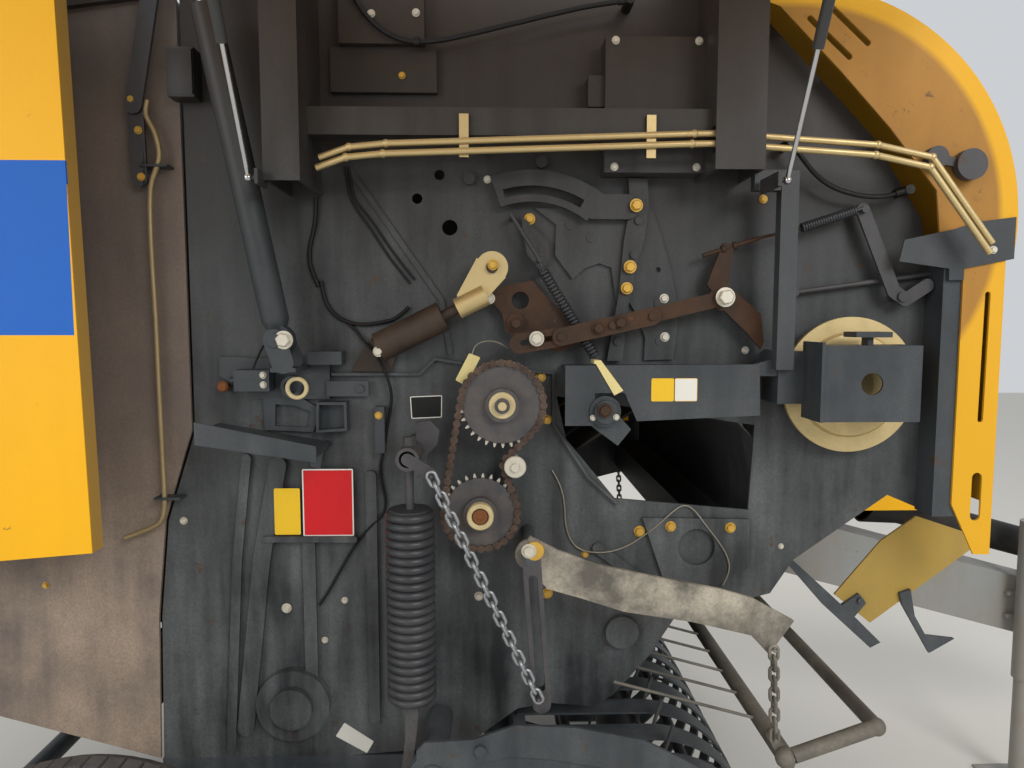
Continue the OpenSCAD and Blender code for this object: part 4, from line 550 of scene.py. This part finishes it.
GOLD_BOLTS = [(857, 800, 1844, 13), (1098, 842, 1870, 15), (1088, 829, 1732, 15), (1081, 829, 1683, 14),
              (884, 800, 1475, 12), (900, 800, 1373, 11), (1125, 800, 1099, 14), (1198, 812, 1114, 13),
              (1343, 812, 1110, 13), (902, 800, 947, 13), (567, 818, 2160, 8), (1405, 800, 1892, 10),
              (504, 830, 1388, 9), (771, 886, 1732, 12), (993, 800, 1044, 9)]
RUST_BOLTS = [(824, 850, 1602, 16), (1008, 886, 1591, 15), (1057, 886, 1604, 15), (1018, 926, 1410, 16)]


def bolts(name, table, finish, body):
    """One piece with a bolt head at each place of a table."""
    mesh = bmesh.new()
    outwards = Matrix.Rotation(radians(90), 4, "X")
    for count, (x, y, z, r) in enumerate(table):
        known = set(mesh.verts)
        mesh.from_mesh(bolt_mesh)
        fresh = [v for v in mesh.verts if v not in known]
        place = Matrix.Translation(at(x / 1000, -y / 1000, z / 1000))
        turn = outwards @ Matrix.Rotation(radians(BOLT_TURN * count), 4, "Z")
        bmesh.ops.transform(mesh, verts=fresh, matrix=place @ turn @ Matrix.Scale(r / 1000, 4))
    return piece(name, mesh, finish, body)


bolts("zinc_bolts", ZINC_BOLTS, bolt_zinc, "chassis")
bolts("passivated_bolts", GOLD_BOLTS, bolt_gold, "chassis")
bolts("rusty_bolts", RUST_BOLTS, rusty_steel, "chassis")
print(len(ZINC_BOLTS) + len(GOLD_BOLTS) + len(RUST_BOLTS), "bolts")

# %% [markdown]
# Instruction stickers sit on the wall as thin plates. Here they are left blank: only their colours and
# their rims stay. Each is one face with rounded corners, pulled out from the wall and inset once for the
# rim.
# %% How a blank sticker is made
CORNER = 0.003


def sticker(name, corners, y, rim_mm, coat, field, thick=0.6):
    """A blank sticker from its corners in x and z, with one coat on its rim and one on its field."""
    mesh = bmesh.new()
    ring = [mesh.verts.new(at(x / 1000, -y / 1000, z / 1000)) for x, z in corners]
    face = mesh.faces.new(ring)
    face.normal_update()
    if face.normal.y > 0:
        face.normal_flip()
    bmesh.ops.bevel(mesh, geom=mesh.verts[:], offset=CORNER, segments=3, profile=0.5, affect="VERTICES",
                    material=-1)
    plate = mesh.faces[:]
    raised = bmesh.ops.extrude_face_region(mesh, geom=plate)
    moved = [v for v in raised["geom"] if isinstance(v, bmesh.types.BMVert)]
    bmesh.ops.translate(mesh, verts=moved, vec=(0, -thick / 1000, 0))
    front = [f for f in raised["geom"] if isinstance(f, bmesh.types.BMFace)]
    bmesh.ops.inset_region(mesh, faces=front, thickness=rim_mm / 1000, depth=0)
    for f in front:
        f.material_index = 1
    bmesh.ops.recalc_face_normals(mesh, faces=mesh.faces[:])
    made = piece(name, mesh, coat, "chassis")
    made.data.materials.append(field)
    return made


# %% [markdown]
# The corners are given in x and z in millimetres, from the photograph's places on the wall and on the
# channel.
# %% Blank stickers
sticker("red_plate", [(319, 1097), (439, 1097), (439, 1259), (319, 1259)], 814, 3, white_film, red_film)
sticker("yellow_plate", [(252, 1101), (313, 1101), (313, 1213), (252, 1213)], 814, 1, yellow_film,
        yellow_film)
sticker("black_plate", [(577, 1376), (649, 1379), (650, 1432), (574, 1429)], 800, 2, white_film, black_film)
sticker("channel_plate_yellow", [(1127, 1427), (1178, 1427), (1178, 1479), (1127, 1479)], 900, 1, yellow_film,
        yellow_film)
sticker("channel_plate_white", [(1180, 1427), (1231, 1427), (1231, 1479), (1180, 1479)], 900, 1, yellow_film,
        white_film)
sticker("low_tag", [(382, 590), (458, 545), (475, 575), (404, 624)], 800, 2, white_film, white_film)

# %% [markdown]
# A folded tag of pale yellow steel hangs beside the chain case, held by a bent wire.
# %% Yellow tag
hanging = sticker("hanging_tag", [(716, 1534), (742, 1524), (708, 1459), (684, 1472)], 846, 1, pale_zinc,
                  pale_zinc, thick=3)
print(hanging.name, "has", len(hanging.data.polygons), "faces")

# %% [markdown]
# Black cables and thin pull wires are clipped along the wall. They are curves like the hoses, pressed
# against the plates that carry them. A row gives the radius, the finish, and the route as x, distance to
# the right and z.
# %% Clipped cables
WIRES = {
    "front_harness": (4.5, cable_black, [
        (372, 806, 1700), (378, 806, 1655), (400, 807, 1622), (430, 808, 1604), (471, 808, 1598),
        (510, 810, 1604), (548, 812, 1612), (575, 808, 1640)]),
    "rear_harness": (3.5, cable_black, [
        (420, 806, 1612), (448, 806, 1590), (470, 815, 1560), (500, 822, 1528), (521, 824, 1490),
        (534, 818, 1440), (530, 812, 1400), (521, 812, 1360), (514, 808, 1310), (500, 806, 1262),
        (506, 806, 1215), (515, 806, 1180), (509, 806, 1146), (478, 812, 1120), (440, 806, 1075),
        (408, 806, 1020), (380, 806, 968), (352, 806, 925)]),
    "pull_wire": (2.0, wire_grey, [
        (911, 805, 1252), (925, 804, 1230), (938, 804, 1195), (943, 804, 1160), (944, 804, 1121),
        (955, 804, 1080), (978, 806, 1056), (1017, 814, 1050), (1060, 812, 1053), (1100, 806, 1066),
        (1135, 806, 1090), (1160, 815, 1112), (1186, 815, 1136), (1210, 810, 1156), (1234, 805, 1166),
        (1258, 806, 1152), (1280, 815, 1120), (1312, 815, 1080), (1338, 816, 1040), (1345, 816, 1000),
        (1330, 808, 966)]),
    "spring_wire_a": (2.5, cable_black, [
        (442, 812, 1960), (446, 804, 1898), (466, 804, 1868), (489, 804, 1841), (516, 804, 1800),
        (543, 804, 1761), (566, 804, 1731), (589, 804, 1703)]),
    "spring_wire_b": (2.5, cable_black, [
        (434, 812, 1960), (438, 804, 1898), (457, 804, 1862), (480, 804, 1832), (506, 804, 1792),
        (532, 804, 1752), (556, 804, 1722), (578, 804, 1694)]),
    "post_cable": (5.0, cable_black, [
        (366, 812, 1890), (364, 806, 1850), (358, 806, 1815), (348, 806, 1780), (346, 806, 1745),
        (354, 806, 1715), (366, 806, 1688)]),
    "valve_lead": (2.5, cable_black, [
        (296, 850, 1600), (270, 840, 1580), (250, 846, 1556), (236, 852, 1528), (226, 858, 1500)]),
    "tag_wire": (1.6, wire_grey, [
        (722, 846, 1528), (726, 842, 1548), (744, 838, 1560), (768, 836, 1562), (790, 836, 1556),
        (806, 834, 1544)]),
}
for name, (radius, finish, route) in WIRES.items():
    made = along([(x, -y, z) for x, y, z in route], radius / 1000, name, finish, smooth=6)
    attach(made, "chassis")
print(len(WIRES), "cables and wires")

# %% [markdown]
# A bent sheet closes the chamber across its front, behind the open window of the wall. Its bent edge is
# drawn once, pulled across the chamber, and gets its thickness last.
# %% Front sheet of the chamber
SHEET_HALF = 0.778
SHEET_THICK = 0.003
sheet = bmesh.new()
rows = [(1150, 1500), (1290, 1440), (1400, 1330), (1436, 1200), (1440, 1064)]
edge = [sheet.verts.new(at(x / 1000, -SHEET_HALF, z / 1000)) for x, z in rows]
for a, b in zip(edge, edge[1:]):
    sheet.edges.new((a, b))
wide = bmesh.ops.extrude_edge_only(sheet, edges=sheet.edges[:])
far = [v for v in wide["geom"] if isinstance(v, bmesh.types.BMVert)]
bmesh.ops.translate(sheet, verts=far, vec=(0, 2 * SHEET_HALF, 0))
bmesh.ops.recalc_face_normals(sheet, faces=sheet.faces[:])
bmesh.ops.solidify(sheet, geom=sheet.faces[:], thickness=SHEET_THICK)
piece("chamber_front_sheet", sheet, oiled_steel, "chassis")
print("front sheet from", rows[0], "to", rows[-1])

# %% [markdown]
# On the real machine an idler roller presses the right run of the chain inwards, so the chain follows a
# wave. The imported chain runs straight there, so a finer chain stands for it. Its path is made of arcs round
# the two sprockets and the idler, joined by tangents.
# %% Tangents and arcs


def touch(a, ra, b, rb, side):
    """The angle at which a straight run leaves circle a for circle b, whose radius is negative if crossed."""
    gap = Vector(b) - Vector(a)
    return degrees(atan2(gap.y, gap.x) + side * acos((ra - rb) / gap.length))


def arc(centre, radius, start, end, steps=40):
    """Points of an arc in x and z, in millimetres, between two angles in degrees."""
    turn = [radians(start + (end - start) * k / steps) for k in range(steps + 1)]
    return [Vector((centre[0] + radius * cos(t), centre[1] + radius * sin(t))) for t in turn]


# %% [markdown]
# The three runs give the angles at which each arc starts and ends. The loop is then a closed row of points,
# and the marks are their distances along it.
# %% Loop of the chain
left_run = touch(UP, UP_R, LOW, LOW_R, -1)
low_run = touch(LOW, LOW_R, IDLER, -IDLER_R, -1)
up_run = touch(UP, UP_R, IDLER, -IDLER_R, 1)
loop = arc(UP, UP_R, up_run, left_run % 360)
loop += arc(LOW, LOW_R, left_run % 360, low_run + 360)
loop += arc(IDLER, IDLER_R, low_run + 180, up_run + 180)
loop.append(loop[0])
marks = [0]
for a, b in zip(loop, loop[1:]):
    marks.append(marks[-1] + (b - a).length)
LINKS = 58
PITCH = marks[-1] / LINKS
print("chain loop", round(marks[-1], 1), "mm, pitch", round(PITCH, 2), "mm")


def on_loop(distance):
    """The point of the loop at a distance along it."""
    distance %= marks[-1]
    k = max(i for i, m in enumerate(marks[:-1]) if m <= distance)
    return loop[k].lerp(loop[k + 1], (distance - marks[k]) / max(marks[k + 1] - marks[k], 1e-6))


# %% [markdown]
# A roller chain has two kinds of link in turn: inner plates close to the rollers, and outer plates outside
# them with the ends of the pins. A plate is the hull of two short cylinders, one round each pin, and a disc
# on each end gives it the waist of a real link. Sizes are in millimetres.
# %% Parts of a link


def round_bar(mesh, centre, radius, y0, y1, segments=14):
    """Adds a round bar across the machine at a point in x and z, and returns its points."""
    made = bmesh.ops.create_cone(mesh, cap_ends=True, segments=segments, radius1=radius / 1000,
                                 radius2=radius / 1000, depth=abs(y1 - y0) / 1000)["verts"]
    place = Matrix.Translation(at(centre[0] / 1000, -(y0 + y1) / 2000, centre[1] / 1000))
    bmesh.ops.transform(mesh, verts=made, matrix=place @ Matrix.Rotation(pi / 2, 4, "X"))
    return made


def plate_between(mesh, p, q, radius, y0, y1, segments=14):
    """Adds a plate with round ends round two points in x and z, between two depths."""
    ends = [v for end in (p, q) for v in round_bar(mesh, end, radius, y0, y1, segments)]
    hull = bmesh.ops.convex_hull(mesh, input=ends)
    inside = [e for e in hull["geom_interior"] if isinstance(e, bmesh.types.BMVert)]
    bmesh.ops.delete(mesh, geom=inside, context="VERTS")


# %% [markdown]
# The first pin sits in a gap between two teeth of the upper sprocket. From there on inner and outer links
# take turns.
# %% Links of the chain
CHAIN_Y = 887
FIRST_PIN = 91.15
INNER, OUTER = 7.3, 9.6
WAIST_R, PLATE_R = 4.6, 8.4
ROLLER_R, ROLLER_HALF = 5.9, 6
PIN_R, PIN_HALF = 3.4, 12.5
first = UP_R * radians(FIRST_PIN - up_run)
chain = bmesh.new()
for i in range(LINKS):
    here, there = on_loop(first + i * PITCH), on_loop(first + (i + 1) * PITCH)
    step = INNER if i % 2 else OUTER
    for side in (-1, 1):
        face, back = CHAIN_Y + side * (step + 1), CHAIN_Y + side * (step - 1)
        plate_between(chain, here, there, WAIST_R, back, face)
        for centre in (here, there):
            round_bar(chain, centre, PLATE_R, back, face + side * 0.2, 16)
    round_bar(chain, here, ROLLER_R, CHAIN_Y - ROLLER_HALF, CHAIN_Y + ROLLER_HALF, 12)
    round_bar(chain, here, PIN_R, CHAIN_Y - PIN_HALF, CHAIN_Y + PIN_HALF, 10)
chain_piece = piece("roller_chain", chain, chain_steel, "chassis")
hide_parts("drive_chain")
print("chain of", LINKS, "links,", len(chain_piece.data.polygons), "faces")

# %% [markdown]
# Hub caps, rings, knobs and the idler are turned parts. Each is an outline in radius and height, spun once
# round its own axis, which lies across the machine.
# %% How a turned part is made
TURN_STEPS = 40
JOIN_DIST = 1e-6


def spun(mesh, outline, steps):
    """Spins points and the edges between them round the Y axis, and closes the skin."""
    bmesh.ops.spin(mesh, geom=outline, cent=(0, 0, 0), axis=(0, 1, 0), angle=2 * pi, steps=steps,
                   use_merge=True)
    bmesh.ops.remove_doubles(mesh, verts=mesh.verts[:], dist=JOIN_DIST)
    bmesh.ops.recalc_face_normals(mesh, faces=mesh.faces[:])


def turned(name, centre, y, outline, finish):
    """Spins an outline of radius and height, in millimetres, round an axis across the machine."""
    mesh = bmesh.new()
    ring = [mesh.verts.new((r / 1000, -h / 1000, 0)) for r, h in outline]
    rim = [mesh.edges.new((a, b)) for a, b in zip(ring, ring[1:])]
    if outline[0][0] > 0:
        rim.append(mesh.edges.new((ring[-1], ring[0])))
    spun(mesh, ring + rim, TURN_STEPS)
    bmesh.ops.translate(mesh, verts=mesh.verts[:], vec=at(centre[0] / 1000, -y / 1000, centre[1] / 1000))
    return piece(name, mesh, finish, "chassis")


# %% [markdown]
# Each outline runs from the axis or the bore outwards, and its heights are measured from the seat.
# %% Turned parts
turned("upper_hub_cap", UP, 913, [(0, 22), (9, 22), (10, 20), (10, 4), (28, 4), (30, 2), (30, 0), (0, 0)],
       hub_coat)
turned("lower_hub_ring", LOW, 913, [(19, 0), (19, 20), (21, 22), (28, 22), (30, 20), (30, 0)], hub_coat)
turned("lower_shaft_end", LOW, 931, [(0, 3), (6, 3), (7, 1.5), (16, 1.5), (17, 0), (0, 0)], rust_film)
turned("idler_roller", IDLER, 909, [(0, 12), (9, 12), (10, 10), (10, 3), (23, 3), (25, 1), (25, -5), (0, -5)],
       bolt_zinc)
turned("lug_ring", (327, 1456), 866, [(17, 0), (17, 6), (19, 8), (24, 8), (26, 6), (26, 0)], hub_coat)
turned("lever_knob", (145, 1456), 812, [(0, 22), (9, 21), (13, 16), (13, 6), (8, 2), (8, -12), (0, -12)],
       rust_film)
washer = turned("arm_nut_washer", (858, 1120), 1013, [(0, 4), (13, 4), (20, 3), (21, 0), (0, 0)], bolt_gold)
print("the last of them has", len(washer.data.polygons), "faces")

# %% [markdown]
# The tube that works the gate latch is bent by hand round the fittings on the wall. It stands for the
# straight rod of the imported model, on both sides of the gate.
# %% Latch tube
LATCH_Y = 831
LATCH_R = 0.006
LATCH = [(2, 2098), (-6, 2073), (3, 2052), (15, 2030), (23, 1998), (24, 1972), (14, 1945), (2, 1915),
         (-2, 1870), (-3, 1800), (-2, 1720), (0, 1640), (1, 1560), (1, 1470), (2, 1380), (3, 1290),
         (4, 1214), (3, 1165), (-8, 1136), (-36, 1122), (-64, 1112), (-92, 1102)]
for side, word in ((-1, "right"), (1, "left")):
    made = along([(x, side * LATCH_Y, z) for x, z in LATCH], LATCH_R, "latch_tube_" + word, tube_brass,
                 smooth=6)
    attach(made, "gate")
    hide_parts("latch_rods")
print("latch tube from", LATCH[0], "to", LATCH[-1])

# %% [markdown]
# Two small plates on each side of the gate guide the tube. They and the bracket further down are made of
# flat bars with softened edges.
# %% Guides of the latch tube
EDGE_ROUND = 0.0015


def flat_bars(mesh, middles, sizes):
    """Adds flat bars at their middles, given from the axle in metres, and softens every edge."""
    for middle, size in zip(middles, sizes):
        bar = bmesh.ops.create_cube(mesh, size=1)["verts"]
        bmesh.ops.scale(mesh, verts=bar, vec=size)
        bmesh.ops.translate(mesh, verts=bar, vec=at(*middle))
    bmesh.ops.bevel(mesh, geom=mesh.edges[:], offset=EDGE_ROUND, segments=2, profile=0.5, affect="EDGES",
                    material=-1)


guides = bmesh.new()
middles = [(0.012, side * 0.82, z) for side in (-1, 1) for z in (1.195, 1.955)]
flat_bars(guides, middles, [(0.062, 0.04, 0.006)] * len(middles))
piece("latch_guides", guides, black_enamel, "gate")
print(len(middles), "guide plates")

# %% [markdown]
# The tyres carry blocks between grooves. The outline of a tyre is spun round the axle, and every face of
# the tread is then inset and raised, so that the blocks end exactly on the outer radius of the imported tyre.
# %% Outline of a tyre
TYRE_R, TRACK, TREAD = 390, 1280, 8
BLOCKS_ROUND = 72
GROOVE_HALF = 0.004
TREAD_FROM = 0.379
TREAD_HALF = 0.102
edge_y = [-102, -62, -21, 21, 62, 102]
flank = [(196, 102), (204, 112), (226, 142), (256, 158), (262, 162), (270, 159), (306, 165), (312, 167),
         (318, 164), (340, 158), (362, 146), (376, 128)]
outline = [(r, -w) for r, w in flank]
outline += [(TYRE_R - TREAD, y) for y in edge_y]
outline += [(r, w) for r, w in reversed(flank)]
print("tyre from radius", flank[0][0], "to", TYRE_R, "mm,", 2 * max(w for r, w in flank), "mm wide")


def on_tread(face):
    """Whether a face of a tyre at the origin lies on its tread."""
    middle = face.calc_center_median()
    return Vector((middle.x, middle.z)).length > TREAD_FROM and abs(middle.y) < TREAD_HALF


# %% [markdown]
# Both tyres are made the same way, at the origin first, and then moved to their ends of the axle.
# %% Tyres with their tread
for side, word in ((-1, "right"), (1, "left")):
    tyre = bmesh.new()
    ring = [tyre.verts.new((0, y / 1000, r / 1000)) for r, y in outline]
    rim = [tyre.edges.new((a, b)) for a, b in zip(ring, ring[1:] + ring[:1])]
    spun(tyre, ring + rim, BLOCKS_ROUND)
    tread = [f for f in tyre.faces if on_tread(f)]
    bmesh.ops.inset_individual(tyre, faces=tread, thickness=GROOVE_HALF, depth=TREAD / 1000)
    bmesh.ops.translate(tyre, verts=tyre.verts[:], vec=at(0, side * TRACK / 1000, TYRE_R / 1000))
    made = piece("tread_tyre_" + word, tyre, tyre_rubber, "wheel_" + word)
    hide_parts("tyre_" + word)
print(len(tread), "tread blocks on a tyre")

# %% [markdown]
# Above the latch tube a flat link comes down from the top of the gate. It is two plates with round ends,
# made like the plates of the chain, and the lower one lies behind the upper one at the pin they share.
# %% Link at the top of the gate
LINK_PIN = (-26, 2085)
link = bmesh.new()
plate_between(link, (22, 2330), LINK_PIN, 19, 834, 842, 24)
plate_between(link, LINK_PIN, (-22, 1925), 17, 826, 833, 24)
gate_link = piece("gate_link", link, oiled_steel, "gate")
print("gate link with", len(gate_link.data.polygons), "faces")

# %% [markdown]
# A small bracket, open to the rear, sits on the wall beside the link. Its walls are given by two opposite
# corners, as x, distance to the right and z in millimetres.
# %% Bracket on the wall
WALLS = [((52, 801, 2102), (112, 846, 2108)), ((52, 801, 2204), (112, 846, 2210)),
         ((106, 801, 2106), (112, 846, 2206)), ((52, 840, 2106), (112, 846, 2206))]
middles = [((a[0] + b[0]) / 2000, -(a[1] + b[1]) / 2000, (a[2] + b[2]) / 2000) for a, b in WALLS]
bracket = bmesh.new()
flat_bars(bracket, middles, [(Vector(b) - Vector(a)) / 1000 for a, b in WALLS])
piece("wall_bracket", bracket, black_enamel, "chassis")
print("bracket of", len(WALLS), "walls")

# %% [markdown]
# Three bolts hold the link and one sits low on the gate. They ride on the gate, so they are a piece apart
# from the bolts on the wall.
# %% Bolts on the gate
GATE_BOLTS = [(-31, 833, 2098, 11), (-20, 833, 2032, 9), (-18, 833, 1930, 9), (-299, 800, 978, 8)]
bolts("gate_bolts", GATE_BOLTS, bolt_gold, "gate")
print(len(GATE_BOLTS), "bolts on the gate")

# %% [markdown]
# The stage is a plain pale floor.
# %% Floor
FLOOR_HALF = 14
floor_mesh = bmesh.new()
bmesh.ops.create_grid(floor_mesh, x_segments=1, y_segments=1, size=FLOOR_HALF)
floor_data = bpy.data.meshes.new("floor")
floor_mesh.to_mesh(floor_data)
floor_mesh.free()
floor = bpy.data.objects.new("floor", floor_data)
bpy.context.scene.collection.objects.link(floor)
floor_paint, tree, shader = new_material("pale_floor")
shader.inputs["Base Color"].default_value = rgb("#d8d4cc")
shader.inputs["Roughness"].default_value = 0.9
floor_data.materials.append(floor_paint)
print("floor", 2 * FLOOR_HALF, "m wide")

# %% [markdown]
# The light is a soft even sky with three broad lamps: one above the camera, a weaker one that fills the
# shadows, and one for the far side. At this level a colour renders about as it is written.
# %% Sky and lamps
SKY_STRENGTH = 0.7
world = bpy.data.worlds.new("sky")
world.use_nodes = True
sky = world.node_tree.nodes["Background"]
sky.inputs["Color"].default_value = rgb("#eef2f6")
sky.inputs["Strength"].default_value = SKY_STRENGTH
bpy.context.scene.world = world


def lamp(name, place, aim, size, power):
    """A broad soft lamp."""
    data = bpy.data.lights.new(name, "AREA")
    data.shape = "DISK"
    data.size = size
    data.energy = power
    made = bpy.data.objects.new(name, data)
    bpy.context.scene.collection.objects.link(made)
    turn = (aim - place).to_track_quat("-Z", "Y").to_matrix().to_4x4()
    made.matrix_world = Matrix.Translation(place) @ turn


lamp("key", at(3.4, -5.5, 4.2), at(0.8, -0.8, 1.2), 3.0, 200)
lamp("far", at(-1.5, 6.0, 4.5), at(0.3, 0.8, 1.2), 4.5, 150)
lamp("fill", at(-3.0, -5.0, 2.4), at(0.6, -0.8, 1.2), 3.0, 80)
bpy.context.scene.view_settings.view_transform = "Standard"
print(len(bpy.data.lights), "lamps")
